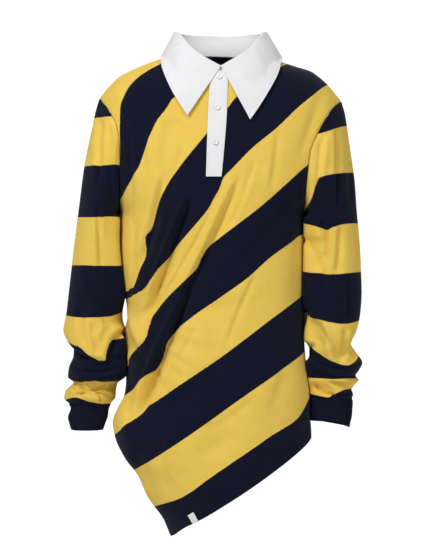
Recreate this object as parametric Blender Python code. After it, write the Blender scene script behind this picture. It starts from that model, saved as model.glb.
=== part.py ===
"""A long-sleeved polo shirt with slanting stripes, in the form it has when it is worn.

Frame: +Z up, the front faces -Y and +X is the wearer's left. The origin is the middle of
the neck opening, where the wearer holds the shirt up. Every size below is in millimetres,
and a drop is a distance below the origin. The body of the shirt is a hollow form, read as a
section at each drop; the front and back panels, the armholes and the neckline all lie on it.
"""
import math

import bpy
import numpy as np

MM = 0.001

# Cloth walls and the gaps that part the sewn pieces
JERSEY = 1.8
RIB = 2.2
WOVEN = 1.6
SEAM = 0.4

# Grid sizes: columns over a panel, rows below and beside the armholes
PANEL_COLUMNS = 28
LOWER_ROWS = 19
ARMHOLE_STEPS = 10
NECK_COLUMN = 10

# The body form: half sections whose sides round off with SIDE_POWER, shoulders with TOP_POWER
SIDE_POWER = 2.4
TOP_POWER = 2.2
SHOULDER_ROUND = 90
UNDERARM = 264
BODY_COLUMNS = ("drop", "left", "right", "front", "back")
BODY = (
    (-40, -214, 216, 76, 70),
    (30, -214, 216, 90, 82),
    (68, -213, 217, 97, 92),
    (120, -207, 205, 107, 106),
    (170, -196, 188, 114, 116),
    (220, -182, 168, 118, 121),
    (264, -168, 144, 119, 123),
    (306, -169, 144, 118, 122),
    (357, -165, 143, 116, 119),
    (413, -157, 143, 115, 118),
    (434, -155, 143, 115, 118),
    (462, -160, 144, 116, 120),
    (507, -158, 147, 118, 124),
    (546, -157, 152, 120, 127),
    (573, -161, 154, 121, 128),
    (590, -169, 154, 121, 128),
    (614, -180, 155, 121, 128),
    (640, -176, 156, 121, 127),
    (675, -160, 154, 120, 126),
    (705, -138, 152, 118, 124),
    (740, -122, 150, 114, 120),
    (780, -94, 148, 106, 112),
    (830, -74, 146, 92, 98),
)

# The top line of the shoulders, as it runs on across the neck
SHOULDER_COLUMNS = ("x", "drop")
SHOULDER = (
    (-204, 67), (-201, 63), (-186, 45), (-169, 29), (-135, 12), (-101, -1), (-75, -10),
    (0, -28), (75, -10), (110, 5), (131, 12), (154, 19), (168, 28), (182, 40), (196, 56),
    (208, 71),
)

# Where the armhole seams run, seen from the front
ARMHOLE_COLUMNS = ("drop", "x")
ARMHOLE_RIGHT = (
    (66, -203), (74, -197), (84, -189), (97, -181), (116, -172), (141, -167.5), (182, -166),
    (225, -167), (264, -168),
)
ARMHOLE_LEFT = (
    (71, 208), (75, 203), (82, 195), (104, 179), (141, 160), (160, 153), (182, 150),
    (243, 144.5), (264, 144),
)

# Neckline: how far it reaches to the front and the back, as a share of the body's depth
NECK_FRONT = 0.95
NECK_BACK = 0.66
NECK_HALF = 75
NECK_SHIFT = -3
COLLAR_MIDDLE = 3
NECK_LOW = 130

# The slanting hem: a plane that rises to the wearer's left and to the back
HEM_DROP = 738
HEM_RISE_X = 0.654
HEM_RISE_Y = 0.13
HEM_CORNER = 14
HEM_CORNER_FROM = -50
HEM_CORNER_RUN = 34

# Folds pulled towards the right side of the waist. Each is a curve through three points
FOLD_COLUMNS = ("x1", "drop1", "x2", "drop2", "x3", "drop3", "width", "rise")
FRONT_FOLDS = (
    (24, 212, -50, 400, -150, 618, 13, -9),
    (0, 232, -66, 362, -126, 474, 15, 7),
    (-20, 222, -62, 285, -140, 392, 12, -7),
    (-76, 100, -88, 190, -122, 300, 15, -5),
    (-119, 45, -125, 126, -128, 210, 12, -4),
    (-140, 400, -134, 440, -116, 486, 12, 5),
    (-168, 560, -160, 620, -136, 675, 14, 6),
    (74, 370, 46, 430, 12, 492, 18, -3.5),
    (26, 624, -2, 646, -36, 668, 18, -4),
    (172, 55, 158, 110, 136, 176, 10, -4),
)
BACK_FOLDS = (
    (30, 190, -50, 300, -148, 420, 14, -8),
    (56, 250, -36, 372, -140, 462, 16, 6),
    (96, 360, 0, 486, -132, 596, 15, -8),
    (-98, 90, -108, 170, -112, 262, 14, -5),
    (104, 84, 106, 160, 98, 250, 14, -4),
    (110, 500, 60, 570, 0, 640, 18, -4),
)

# Sleeve rings from the armhole to the cuff: the outer and the inner end of each, its half
# depth, how far its middle lies behind the side seam, and how far its front sags
RING_COLUMNS = ("outer_x", "outer_drop", "inner_x", "inner_drop", "depth", "behind", "sag")
RIGHT_RINGS = (
    (-210, 88, -169, 267, 64, 0, 0),
    (-215, 112, -170, 271, 68, 0, 0),
    (-221, 142, -170, 276, 71, 1, 0),
    (-227, 175, -170, 283, 73, 2, 0),
    (-233, 212, -169, 292, 74, 3, 0),
    (-240, 262, -167, 308, 73, 4, 0),
    (-245, 306, -165, 332, 71, 4, 0),
    (-250, 349, -162, 362, 68, 4, 0),
    (-255, 392, -158, 398, 64, 3, 2),
    (-259, 430, -156, 434, 60, 2, 6),
    (-264, 458, -157, 460, 59, 0, 14),
    (-258, 473, -158, 475, 58, -2, 26),
    (-252, 486, -160, 492, 52, -2, 20),
    (-251, 503, -160, 508, 52, -2, 8),
    (-255, 522, -158, 524, 55, 0, 2),
    (-257, 538, -160, 538, 54, 0, 0),
    (-247, 548, -172, 550, 44, 0, 0),
    (-261, 562, -175, 562, 49, 0, 0),
    (-263, 574, -176, 573, 48, 0, 0),
    (-255, 583, -184, 583, 41, 0, 0),
)
LEFT_RINGS = (
    (214, 92, 145, 267, 64, 0, 0),
    (218, 115, 146, 271, 68, 0, 0),
    (222, 144, 146, 276, 71, 1, 0),
    (226, 177, 147, 283, 73, 2, 0),
    (231, 214, 147, 292, 74, 3, 0),
    (235, 262, 146, 308, 73, 4, 0),
    (238, 306, 146, 332, 71, 4, 0),
    (241, 349, 146, 362, 68, 4, 0),
    (243, 392, 146, 398, 64, 3, 2),
    (240, 430, 146, 434, 60, 2, 6),
    (233, 460, 147, 460, 59, 0, 12),
    (223, 480, 149, 476, 52, -2, 22),
    (234, 498, 154, 491, 50, -2, 18),
    (244, 514, 154, 506, 54, -1, 10),
    (238, 528, 154, 520, 53, 0, 4),
    (233, 536, 156, 532, 47, 0, 2),
    (238, 544, 156, 542, 49, 0, 0),
    (225, 558, 160, 556, 42, 0, 0),
    (228, 567, 157, 566, 44, 0, 0),
    (226, 574, 159, 574, 40, 0, 0),
)
CUFF_RIGHT_RINGS = (
    (-255, 583.5, -184, 583.5, 41, 0, 0),
    (-252, 592, -187, 592, 38.5, 0, 0),
    (-256, 609, -191, 611, 38, 0, 0),
    (-251, 628, -197, 628, 36, 0, 0),
)
CUFF_LEFT_RINGS = (
    (226, 574.5, 159, 574.5, 40, 0, 0),
    (227, 588, 157, 586, 38.5, 0, -3),
    (225, 606, 156, 597, 37.5, 0, -6),
    (222, 624, 156, 608, 37, 0, -10),
)
SLEEVE_POWER = 2.2
SLEEVE_CLEAR = 2.6

# Collar: plan of the roll line, its drop from the front end round to the middle of the back
ROLL_HALF_GAP = 3
ROLL_WIDE = 76
ROLL_LONG = 76
ROLL_BEHIND = -8
ROLL_COLUMNS = ("turn", "drop")
ROLL = ((0, 19), (0.13, 1), (0.24, -17), (0.31, -31), (0.39, -42), (0.5, -45), (1, -44))
STAND_COLUMNS = 16
STAND_ROWS = 3
STAND_LIFT = 0.9
STAND_INSET = 0.3
STAND_SPLIT = 1.2
LEAF_ROWS = 5
LEAF_GAP = 1.6
LEAF_LIFT = 0.7
LEAF_SWELL = 6
CHEST_CLEAR = 5.4
SHOULDER_CLEAR = 4.5
EDGE_COLUMNS = ("turn", "out", "drop", "y")
LEAF_EDGE = (
    (0, 55, 104, -100), (0.1, 68, 82, -95), (0.2, 82, 57, -84), (0.3, 94, 28, -64),
    (0.38, 99, 8, -44), (0.46, 101, -5, -6), (0.56, 96, -7, 38), (0.7, 76, -4, 76),
    (0.85, 42, 0, 96), (1, 0, 2, 101),
)

# Placket: its edges at three drops, and its lift off the front
PLACKET_COLUMNS = ("drop", "left", "right")
PLACKET = ((31.5, -14, 15), (95, -18, 13), (150, -20, 9), (203, -21.5, 4))
PLACKET_LIFT = 0.85
PLACKET_ROWS = 16
PLACKET_ACROSS = 4

# Buttons on the placket, and the tab at the hem
BUTTON_COLUMNS = ("x", "drop")
BUTTONS = ((0.5, 37), (-3, 88), (-6, 146))
BUTTON_RADIUS = 4.8
BUTTON_THICK = 2.2
BUTTON_DISH = 0.5
BUTTON_SIDES = 16
BUTTON_LIFT = 0.35
TAB_X = -43
TAB_WIDE = 11
TAB_TALL = 16.5
TAB_THICK = 0.8
TAB_TILT = 33
TAB_ABOVE_HEM = 11

NAVY = (0.010, 0.013, 0.028, 1)
WHITE = (0.86, 0.85, 0.86, 1)
YELLOW = (0.78, 0.52, 0.08, 1)


def column(table, names, name):
    """One named column of a table, as an array."""
    place = names.index(name)
    return np.array([row[place] for row in table], float)


def curve(at, xs, ys):
    """A smooth curve through the points (xs, ys), with no overshoot, read at the given places."""
    at = np.clip(np.asarray(at, float), xs[0], xs[-1])
    step = np.diff(xs)
    slope = np.diff(ys) / step
    same_way = slope[:-1] * slope[1:] > 0
    mean = 2 * slope[:-1] * slope[1:] / np.where(same_way, slope[:-1] + slope[1:], 1)
    tangent = np.concatenate([slope[:1], np.where(same_way, mean, 0), slope[-1:]])
    i = np.clip(np.searchsorted(xs, at, side="right") - 1, 0, len(xs) - 2)
    t = (at - xs[i]) / step[i]
    rise = ys[i + 1] - ys[i]
    start = tangent[i] * step[i]
    end = tangent[i + 1] * step[i]
    return ys[i] + t * start + t * t * (3 * rise - 2 * start - end) + t ** 3 * (start + end - 2 * rise)


def read(table, names, key, name, at):
    """A named column of a table, read smoothly along its key column."""
    return curve(at, column(table, names, key), column(table, names, name))


def ease(t):
    """0 to 1 with level ends."""
    t = np.clip(t, 0, 1)
    return t * t * (3 - 2 * t)


def middle_and_half(drop):
    """Centre and half width of the body form at a drop."""
    left = read(BODY, BODY_COLUMNS, "drop", "left", drop)
    right = read(BODY, BODY_COLUMNS, "drop", "right", drop)
    return (left + right) / 2, (right - left) / 2


def shoulder_drop(x):
    """Drop of the top line of the shoulders at x."""
    return read(SHOULDER, SHOULDER_COLUMNS, "x", "drop", x)


def body_y(x, drop, side):
    """Y of the body form at (x, drop); side is -1 in front and 1 behind."""
    middle, half = middle_and_half(drop)
    out = np.clip(np.abs(x - middle) / half, 0, 1)
    round_side = (1 - out ** SIDE_POWER) ** (1 / SIDE_POWER)
    below = np.clip(1 - (drop - shoulder_drop(x)) / SHOULDER_ROUND, 0, 1)
    round_top = (1 - below ** TOP_POWER) ** (1 / TOP_POWER)
    depth = read(BODY, BODY_COLUMNS, "drop", "front" if side < 0 else "back", drop)
    return side * (depth * round_side * round_top + SEAM / 2)


def armhole_x(drop, wearer_left):
    """X of the armhole seam at a drop, or of the side seam below the underarm."""
    table = ARMHOLE_LEFT if wearer_left else ARMHOLE_RIGHT
    middle, half = middle_and_half(drop)
    side = middle + half if wearer_left else middle - half
    seam = read(table, ARMHOLE_COLUMNS, "drop", "x", drop)
    return np.where(np.asarray(drop) >= UNDERARM, side, seam)


def neck_share(u):
    """-1 to 1 from one end of the neckline to the other, and no further."""
    return np.clip((u - 0.5) / (0.5 - NECK_COLUMN / PANEL_COLUMNS), -1, 1)


def panel_x(u, drop):
    """X across a panel at a drop, u from 0 at the wearer's right to 1 at the left."""
    middle, half = middle_and_half(drop)
    start = np.arcsin(np.clip((armhole_x(drop, False) - middle) / half, -1, 1))
    end = np.arcsin(np.clip((armhole_x(drop, True) - middle) / half, -1, 1))
    x = middle + half * np.sin(start + (end - start) * u)
    near_neck = ease((NECK_LOW - drop) / 100)
    share = neck_share(u)
    round_neck = NECK_HALF * (np.sin(share * math.pi / 2) - share)
    return x + near_neck * (round_neck + NECK_SHIFT * ease(1 - np.abs(u - 0.5) / 0.4))


def hem_drop(u, side):
    """Drop of the slanting hem at each column of a panel."""
    drop = np.full_like(u, HEM_DROP)
    for _ in range(30):
        x = panel_x(u, drop)
        corner = np.clip((HEM_CORNER_FROM - x) / HEM_CORNER_RUN, 0, 1)
        drop = HEM_DROP - HEM_RISE_X * x - HEM_RISE_Y * body_y(x, drop, side) + HEM_CORNER * corner ** 2
    return drop


def top_drop(u, side):
    """Drop of a panel's top edge: shoulder seam, neckline, shoulder seam."""
    reach = (NECK_FRONT if side < 0 else NECK_BACK) * np.cos(neck_share(u) * math.pi / 2)
    fall = SHOULDER_ROUND * (1 - (1 - np.clip(reach, 0, 1) ** TOP_POWER) ** (1 / TOP_POWER))
    drop = np.zeros_like(u)
    for _ in range(30):
        drop = shoulder_drop(panel_x(u, drop)) + fall
    return drop


def fold_rise(x, drop, folds):
    """How far folds raise or sink the cloth at (x, drop)."""
    total = np.zeros_like(x)
    t = np.linspace(0, 1, 25)
    for x1, d1, x2, d2, x3, d3, width, rise in folds:
        through_x = 2 * x2 - (x1 + x3) / 2
        through_d = 2 * d2 - (d1 + d3) / 2
        path_x = (1 - t) ** 2 * x1 + 2 * t * (1 - t) * through_x + t * t * x3
        path_d = (1 - t) ** 2 * d1 + 2 * t * (1 - t) * through_d + t * t * d3
        away = (x[..., None] - path_x) ** 2 + (drop[..., None] - path_d) ** 2
        nearest = away.argmin(-1)
        strength = ease(np.sin(np.pi * t[nearest]) * 1.6 + 0.05)
        total += rise * strength * np.exp(-away.min(-1) / width ** 2)
    return total


def normals(grid, around=False):
    """Unit normals of a grid of points, rows upward and columns to the right."""
    if around:
        wide = np.concatenate([grid[:, -1:], grid, grid[:, :1]], axis=1)
        du = (wide[:, 2:] - wide[:, :-2])
    else:
        du = np.gradient(grid, axis=1)
    normal = np.cross(du, np.gradient(grid, axis=0))
    return normal / np.linalg.norm(normal, axis=2, keepdims=True)


def panel(side, columns=PANEL_COLUMNS):
    """Outer points of the front (side -1) or back (side 1), with their normals."""
    u = np.linspace(0, 1, columns + 1)
    hem = hem_drop(u, side)
    top = top_drop(u, side)
    low = np.linspace(0, 1, LOWER_ROWS + 1)[:, None]
    lower = hem + (UNDERARM - hem) * low
    high = (1 - np.cos(np.linspace(0, math.pi, ARMHOLE_STEPS + 1)[1:, None])) / 2
    upper = UNDERARM + (top - UNDERARM) * high
    drop = np.concatenate([lower, upper])
    across = np.broadcast_to(u, drop.shape)
    x = panel_x(across, drop)
    grid = np.stack([x, body_y(x, drop, side), -drop], axis=-1)
    if side > 0:
        grid = grid[:, ::-1]
    normal = normals(grid)
    normal[:LOWER_ROWS + 1, [0, -1], 1] = 0
    shoulders = [k for k in range(columns + 1) if abs(k - columns / 2) >= columns / 2 - NECK_COLUMN]
    normal[-1, shoulders, 1] = 0
    normal /= np.linalg.norm(normal, axis=2, keepdims=True)
    folds = FRONT_FOLDS if side < 0 else BACK_FOLDS
    edge = ease(np.minimum(u, 1 - u) / 0.09) * ease((1 - np.linspace(0, 1, len(drop))) / 0.12)[:, None]
    if side > 0:
        edge = edge[:, ::-1]
    rise = fold_rise(grid[..., 0], -grid[..., 2], folds) * edge
    return grid + normal * rise[..., None], normal


def wall(grid, normal, thick, around=False):
    """Vertices and triangles of a closed wall, with the grid as its outer face."""
    rows, columns = grid.shape[:2]
    points = np.concatenate([grid.reshape(-1, 3), (grid - normal * thick).reshape(-1, 3)])
    index = np.arange(rows * columns).reshape(rows, columns)
    if around:
        index = np.concatenate([index, index[:, :1]], axis=1)
    a, b = index[:-1, :-1].ravel(), index[:-1, 1:].ravel()
    c, d = index[1:, 1:].ravel(), index[1:, :-1].ravel()
    outer = np.concatenate([np.stack([a, b, c], 1), np.stack([a, c, d], 1)])
    inner = outer[:, ::-1] + rows * columns
    rims = [index[0, ::-1], index[-1]]
    if not around:
        rims += [index[:, 0], index[::-1, -1]]
    faces = [outer, inner]
    for rim in rims:
        p, q = rim[:-1], rim[1:]
        faces.append(np.stack([p, q, q + rows * columns], 1))
        faces.append(np.stack([p, q + rows * columns, p + rows * columns], 1))
    return points, np.concatenate(faces)


def add_object(name, points, faces, color, roughness):
    """A mesh object at its place, with its own material. Points are in millimetres."""
    mesh = bpy.data.meshes.new(name)
    mesh.from_pydata((points * MM).tolist(), [], faces.tolist())
    mesh.update()
    mesh.shade_smooth()
    mesh.set_sharp_from_angle(angle=math.radians(40))
    material = bpy.data.materials.new(name)
    material.use_nodes = True
    shader = material.node_tree.nodes["Principled BSDF"]
    shader.inputs["Base Color"].default_value = color
    shader.inputs["Roughness"].default_value = roughness
    shader.inputs["Metallic"].default_value = 0
    mesh.materials.append(material)
    obj = bpy.data.objects.new(name, mesh)
    bpy.context.scene.collection.objects.link(obj)
    return obj


def ring(outer_x, outer_drop, inner_x, inner_drop, depth, behind, sag, angle):
    """Points of one sleeve ring; angle 0 is its outer end and a right angle is the front."""
    cosine = np.sign(np.cos(angle)) * np.abs(np.cos(angle)) ** (2 / SLEEVE_POWER)
    sine = np.sign(np.sin(angle)) * np.abs(np.sin(angle)) ** (2 / SLEEVE_POWER)
    x = (outer_x + inner_x) / 2 + (outer_x - inner_x) / 2 * cosine
    drop = (outer_drop + inner_drop) / 2 + (outer_drop - inner_drop) / 2 * cosine
    drop = drop + sag * np.clip(np.sin(angle), 0, 1)
    return np.stack([x, behind - depth * sine, -drop], axis=-1)


def armhole(wearer_left):
    """Points of the armhole seam on the body form, one for each sleeve column."""
    table = ARMHOLE_LEFT if wearer_left else ARMHOLE_RIGHT
    top = table[0][0]
    angle = np.arange(2 * ARMHOLE_STEPS) * math.pi / ARMHOLE_STEPS
    drop = (top + UNDERARM) / 2 - (UNDERARM - top) / 2 * np.cos(angle)
    x = armhole_x(drop, wearer_left)
    front = np.sin(angle) > 0
    y = np.where(front, body_y(x, drop, -1), body_y(x, drop, 1))
    y = np.where(np.abs(np.sin(angle)) < 1e-6, 0, y)
    return np.stack([x, y, -drop], axis=-1), angle


def keep_clear(points, wearer_left):
    """Press sleeve points flat where they would come too near the side of the body."""
    x, y, drop = points[..., 0], points[..., 1], -points[..., 2]
    middle, half = middle_and_half(drop)
    deep = np.where(y < 0, read(BODY, BODY_COLUMNS, "drop", "front", drop),
                    read(BODY, BODY_COLUMNS, "drop", "back", drop))
    share = np.clip(np.abs(y) / deep, 0, 1)
    reach = half * (1 - share ** SIDE_POWER) ** (1 / SIDE_POWER) + SLEEVE_CLEAR
    below = ease((drop - UNDERARM + 4) / 4)
    if wearer_left:
        pressed = np.maximum(x, middle + reach)
    else:
        pressed = np.minimum(x, middle - reach)
    return np.stack([x + (pressed - x) * below, y, -drop], axis=-1)


def sleeve(rings, wearer_left):
    """Outer points and normals of a sleeve, its last row at the armhole."""
    seam, angle = armhole(wearer_left)
    out = 1 if wearer_left else -1
    first = seam + np.array([out * 1.2 * SEAM, 0, 0])
    top = (seam[0, 0], -seam[0, 2])
    under = (seam[ARMHOLE_STEPS, 0], -seam[ARMHOLE_STEPS, 2])
    plain = ring(top[0], top[1], under[0], under[1], 60, 0, 0, angle)
    bow = first - plain
    rows = [first]
    for place, row in enumerate(rings):
        fade = 1 - ease((place + 1) / 7)
        rows.append(keep_clear(ring(*row, angle) + bow * fade, wearer_left))
    grid = np.array(rows[::-1])
    if wearer_left:
        grid = np.roll(grid[:, ::-1], 1, axis=1)
    normal = normals(grid, around=True)
    inward = -normal[-1]
    toward_body = np.clip(inward[:, 0] * -out, None, 0.35)
    inward[:, 0] = toward_body * -out
    normal[-1] = -inward / np.linalg.norm(inward, axis=1, keepdims=True)
    return grid, normal


def cuff(rings, wearer_left):
    """Outer points and normals of a cuff."""
    angle = np.arange(2 * ARMHOLE_STEPS) * math.pi / ARMHOLE_STEPS
    grid = np.array([ring(*row, angle) for row in rings[::-1]])
    if wearer_left:
        grid = np.roll(grid[:, ::-1], 1, axis=1)
    return grid, normals(grid, around=True)


def roll_line(turn, hand):
    """Roll line of the collar: turn 0 at the front end, 1 at the back; hand -1 or 1."""
    x = COLLAR_MIDDLE + hand * (ROLL_HALF_GAP * (1 - turn) + ROLL_WIDE * np.sin(math.pi * turn))
    y = ROLL_BEHIND - ROLL_LONG * np.cos(math.pi * turn)
    return np.stack([x, y, -read(ROLL, ROLL_COLUMNS, "turn", "drop", turn)], axis=-1)


def neckline(front, back, turn, hand):
    """Neckline of the two panels, at the same turns as the roll line."""
    neck = slice(NECK_COLUMN, PANEL_COLUMNS - NECK_COLUMN + 1)
    half = PANEL_COLUMNS // 2 - NECK_COLUMN
    ahead = front[-1, neck]
    rear = back[-1, neck][::-1]
    if hand < 0:
        loop = np.concatenate([ahead[:half + 1][::-1], rear[:half + 1]])
    else:
        loop = np.concatenate([ahead[half:], rear[half:][::-1]])
    at = turn * (len(loop) - 1)
    return np.stack([np.interp(at, np.arange(len(loop)), loop[:, k]) for k in range(3)], axis=-1)


def collar_columns(function, steps):
    """Join the two hands of a collar line, from the left front end to the right one."""
    turn = np.linspace(0, 1, steps + 1)
    return np.concatenate([function(turn, 1), function(turn[:-1], -1)[::-1]])


def collar_stand(front, back):
    """The band from the neckline up to the roll line."""
    base = collar_columns(lambda turn, hand: neckline(front, back, turn, hand), STAND_COLUMNS)
    inward = np.array([COLLAR_MIDDLE, 0, 0]) - base
    inward[:, 2] = 0
    inward /= np.linalg.norm(inward, axis=1, keepdims=True)
    base = base + inward * STAND_INSET + np.array([0, 0, STAND_LIFT])
    base[[0, -1], 0] += np.array([STAND_SPLIT, -STAND_SPLIT])
    roll = collar_columns(roll_line, STAND_COLUMNS)
    t = np.linspace(0, 1, STAND_ROWS + 1)[:, None, None]
    lean = np.concatenate([t ** 2, t ** 2, t], axis=2)
    grid = base + (roll - base) * lean
    return grid, normals(grid)


def above_body(points):
    """Lift collar points clear of the chest and shoulders."""
    x, y, drop = points[..., 0].copy(), points[..., 1].copy(), -points[..., 2]
    for side in (-1, 1):
        facing = y * side > 0
        under = drop - shoulder_drop(x)
        surface = body_y(x, drop, side)
        outside = (surface + side * CHEST_CLEAR) * side
        on_chest = facing & (under > 22)
        y = np.where(on_chest & (y * side < outside), outside * side, y)
        middle, half = middle_and_half(drop)
        across = (1 - np.clip(np.abs(x - middle) / half, 0, 1) ** SIDE_POWER) ** (1 / SIDE_POWER)
        deep = read(BODY, BODY_COLUMNS, "drop", "front" if side < 0 else "back", drop)
        share = np.clip((np.abs(y) - SHOULDER_CLEAR) / (deep * across), 0, 1)
        fall = SHOULDER_ROUND * (1 - (1 - share ** TOP_POWER) ** (1 / TOP_POWER))
        lowest = shoulder_drop(x) + fall - SHOULDER_CLEAR
        near = facing & (np.abs(x - COLLAR_MIDDLE) > 70) & (share < 1)
        drop = np.where(near & (under <= 30) & (drop > lowest), lowest, drop)
    return np.stack([x, y, -drop], axis=-1)


def collar_leaf():
    """The fold-over leaf, from just above the stand down to its outer edge."""
    def edge(turn, hand):
        x = COLLAR_MIDDLE - 1.5 + hand * read(LEAF_EDGE, EDGE_COLUMNS, "turn", "out", turn)
        y = read(LEAF_EDGE, EDGE_COLUMNS, "turn", "y", turn)
        return np.stack([x, y, -read(LEAF_EDGE, EDGE_COLUMNS, "turn", "drop", turn)], axis=-1)
    roll = collar_columns(roll_line, STAND_COLUMNS)
    outer = collar_columns(edge, STAND_COLUMNS)
    turn = np.concatenate([np.linspace(0, 1, STAND_COLUMNS + 1), np.linspace(1, 0, STAND_COLUMNS + 1)[1:]])
    away = roll - np.array([COLLAR_MIDDLE, 0, 0])
    away[:, 2] = 0
    away /= np.linalg.norm(away, axis=1, keepdims=True)
    run = np.gradient(roll, axis=0)
    run /= np.linalg.norm(run, axis=1, keepdims=True)
    up = np.array([0, 0, 1]) - run * run[:, 2:]
    up /= np.linalg.norm(up, axis=1, keepdims=True)
    rows = [roll + up * (WOVEN + LEAF_LIFT)]
    start = roll + away * (WOVEN + LEAF_GAP) + up * 0.3
    for t in np.linspace(0, 1, LEAF_ROWS + 1):
        swell = LEAF_SWELL * math.sin(math.pi * t) * ease(turn / 0.25)[:, None]
        rows.append(start + (outer - start) * t + away * swell)
    grid = above_body(np.array(rows))
    grid[0] = rows[0]
    grid = grid[::-1]
    return grid, normals(grid)


def on_front(front, x, drop):
    """Point of the front panel's own facets at (x, drop)."""
    rows, columns = front.shape[:2]
    away = (front[..., 0] - x) ** 2 + (front[..., 2] + drop) ** 2
    best = np.unravel_index(away.argmin(), away.shape)
    for i in range(max(best[0] - 2, 0), min(best[0] + 2, rows - 1)):
        for j in range(max(best[1] - 2, 0), min(best[1] + 2, columns - 1)):
            a, b, c, d = front[i, j], front[i, j + 1], front[i + 1, j + 1], front[i + 1, j]
            for p, q, r in ((a, b, c), (a, c, d)):
                matrix = np.array([[q[0] - p[0], r[0] - p[0]], [q[2] - p[2], r[2] - p[2]]])
                s, t = np.linalg.solve(matrix, [x - p[0], -drop - p[2]])
                if s >= -1e-6 and t >= -1e-6 and s + t <= 1 + 1e-6:
                    return p + s * (q - p) + t * (r - p)
    return front[best]


def placket(front):
    """A strip over the front opening, on the front's own points moved out."""
    drops = np.linspace(PLACKET[-1][0], PLACKET[0][0], PLACKET_ROWS + 1)
    left = read(PLACKET, PLACKET_COLUMNS, "drop", "left", drops)
    right = read(PLACKET, PLACKET_COLUMNS, "drop", "right", drops)
    grid = np.array([[on_front(front, a + (b - a) * k / PLACKET_ACROSS, drop)
                      for k in range(PLACKET_ACROSS + 1)] for a, b, drop in zip(left, right, drops)])
    normal = normals(grid)
    return grid + normal * (PLACKET_LIFT + WOVEN), normal


def button(centre, normal):
    """Vertices and triangles of a dished round button, standing on its back face."""
    side = np.cross(normal, [0, 0, 1])
    side /= np.linalg.norm(side)
    up = np.cross(side, normal)
    profile = ((0, 0), (0.94, 0), (1, 0.3), (1, 0.75), (0.86, 1), (0.66, 1 - BUTTON_DISH), (0, 1 - BUTTON_DISH))
    points = [centre]
    for radius, high in profile[1:-1]:
        for k in range(BUTTON_SIDES):
            a = 2 * math.pi * k / BUTTON_SIDES
            across = (side * math.cos(a) + up * math.sin(a)) * radius * BUTTON_RADIUS
            points.append(centre + across + normal * high * BUTTON_THICK)
    points.append(centre + normal * profile[-1][1] * BUTTON_THICK)
    faces = []
    bands = len(profile) - 2
    for k in range(BUTTON_SIDES):
        n = (k + 1) % BUTTON_SIDES
        faces.append((0, 1 + k, 1 + n))
        for band in range(bands - 1):
            a = 1 + band * BUTTON_SIDES
            b = a + BUTTON_SIDES
            faces += [(a + k, b + k, b + n), (a + k, b + n, a + n)]
        last = 1 + (bands - 1) * BUTTON_SIDES
        faces.append((last + k, len(points) - 1, last + n))
    return np.array(points), np.array(faces)


def hem_tab(front):
    """A small bare tab sewn flat on the front, just above the hem and square to it."""
    slant = math.radians(TAB_TILT)
    along = np.array([math.cos(slant), -math.sin(slant)])
    across = np.array([math.sin(slant), math.cos(slant)])
    middle = np.array([TAB_X, HEM_DROP - HEM_RISE_X * TAB_X + HEM_RISE_Y * 100 - TAB_ABOVE_HEM])
    grid = []
    for down in (TAB_TALL / 2, 0, -TAB_TALL / 2):
        row = []
        for over in (-TAB_WIDE / 2, -TAB_WIDE / 6, TAB_WIDE / 6, TAB_WIDE / 2):
            x, drop = middle + along * over + across * down
            row.append(on_front(front, x, drop))
        grid.append(row)
    grid = np.array(grid)
    normal = normals(grid)
    return grid + normal * (PLACKET_LIFT + TAB_THICK), normal


def main():
    for old in list(bpy.data.objects):
        bpy.data.objects.remove(old)
    front, front_normal = panel(-1)
    back, back_normal = panel(1)
    add_object("front", *wall(front, front_normal, JERSEY), NAVY, 0.85)
    add_object("back", *wall(back, back_normal, JERSEY), NAVY, 0.85)
    for name, rings, mouth, wearer_left in (("left", LEFT_RINGS, CUFF_LEFT_RINGS, True),
                                            ("right", RIGHT_RINGS, CUFF_RIGHT_RINGS, False)):
        add_object("sleeve_" + name, *wall(*sleeve(rings, wearer_left), JERSEY, around=True), YELLOW, 0.85)
        add_object("cuff_" + name, *wall(*cuff(mouth, wearer_left), RIB, around=True), NAVY, 0.85)
    add_object("collar_stand", *wall(*collar_stand(front, back), WOVEN), WHITE, 0.8)
    add_object("collar_leaf", *wall(*collar_leaf(), WOVEN), WHITE, 0.8)
    strip, strip_normal = placket(front)
    add_object("placket", *wall(strip, strip_normal, WOVEN), WHITE, 0.8)
    for place, (x, drop) in enumerate(BUTTONS):
        seat = on_front(strip, x, drop)
        away = (strip[..., 0] - x) ** 2 + (strip[..., 2] + drop) ** 2
        normal = strip_normal[np.unravel_index(away.argmin(), away.shape)]
        add_object("button_%d" % (place + 1), *button(seat + normal * BUTTON_LIFT, normal), WHITE, 0.35)
    add_object("hem_tab", *wall(*hem_tab(front), TAB_THICK), WHITE, 0.8)


main()
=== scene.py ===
# %% [markdown]
# # A striped long-sleeved polo shirt
# The real shirt is sewn from a front, a back, two sleeves, two rib cuffs, a collar in two
# pieces and a strip over the front opening. It is shown as it is worn, so it is a hollow form
# with a thin wall. A cloth simulation could drape flat panels over a figure, but the folds
# would fall wherever they liked. Here every piece is a surface worked out from its own
# measurements, so that each fold lies where the maker sees it.

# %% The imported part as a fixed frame
import math

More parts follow.
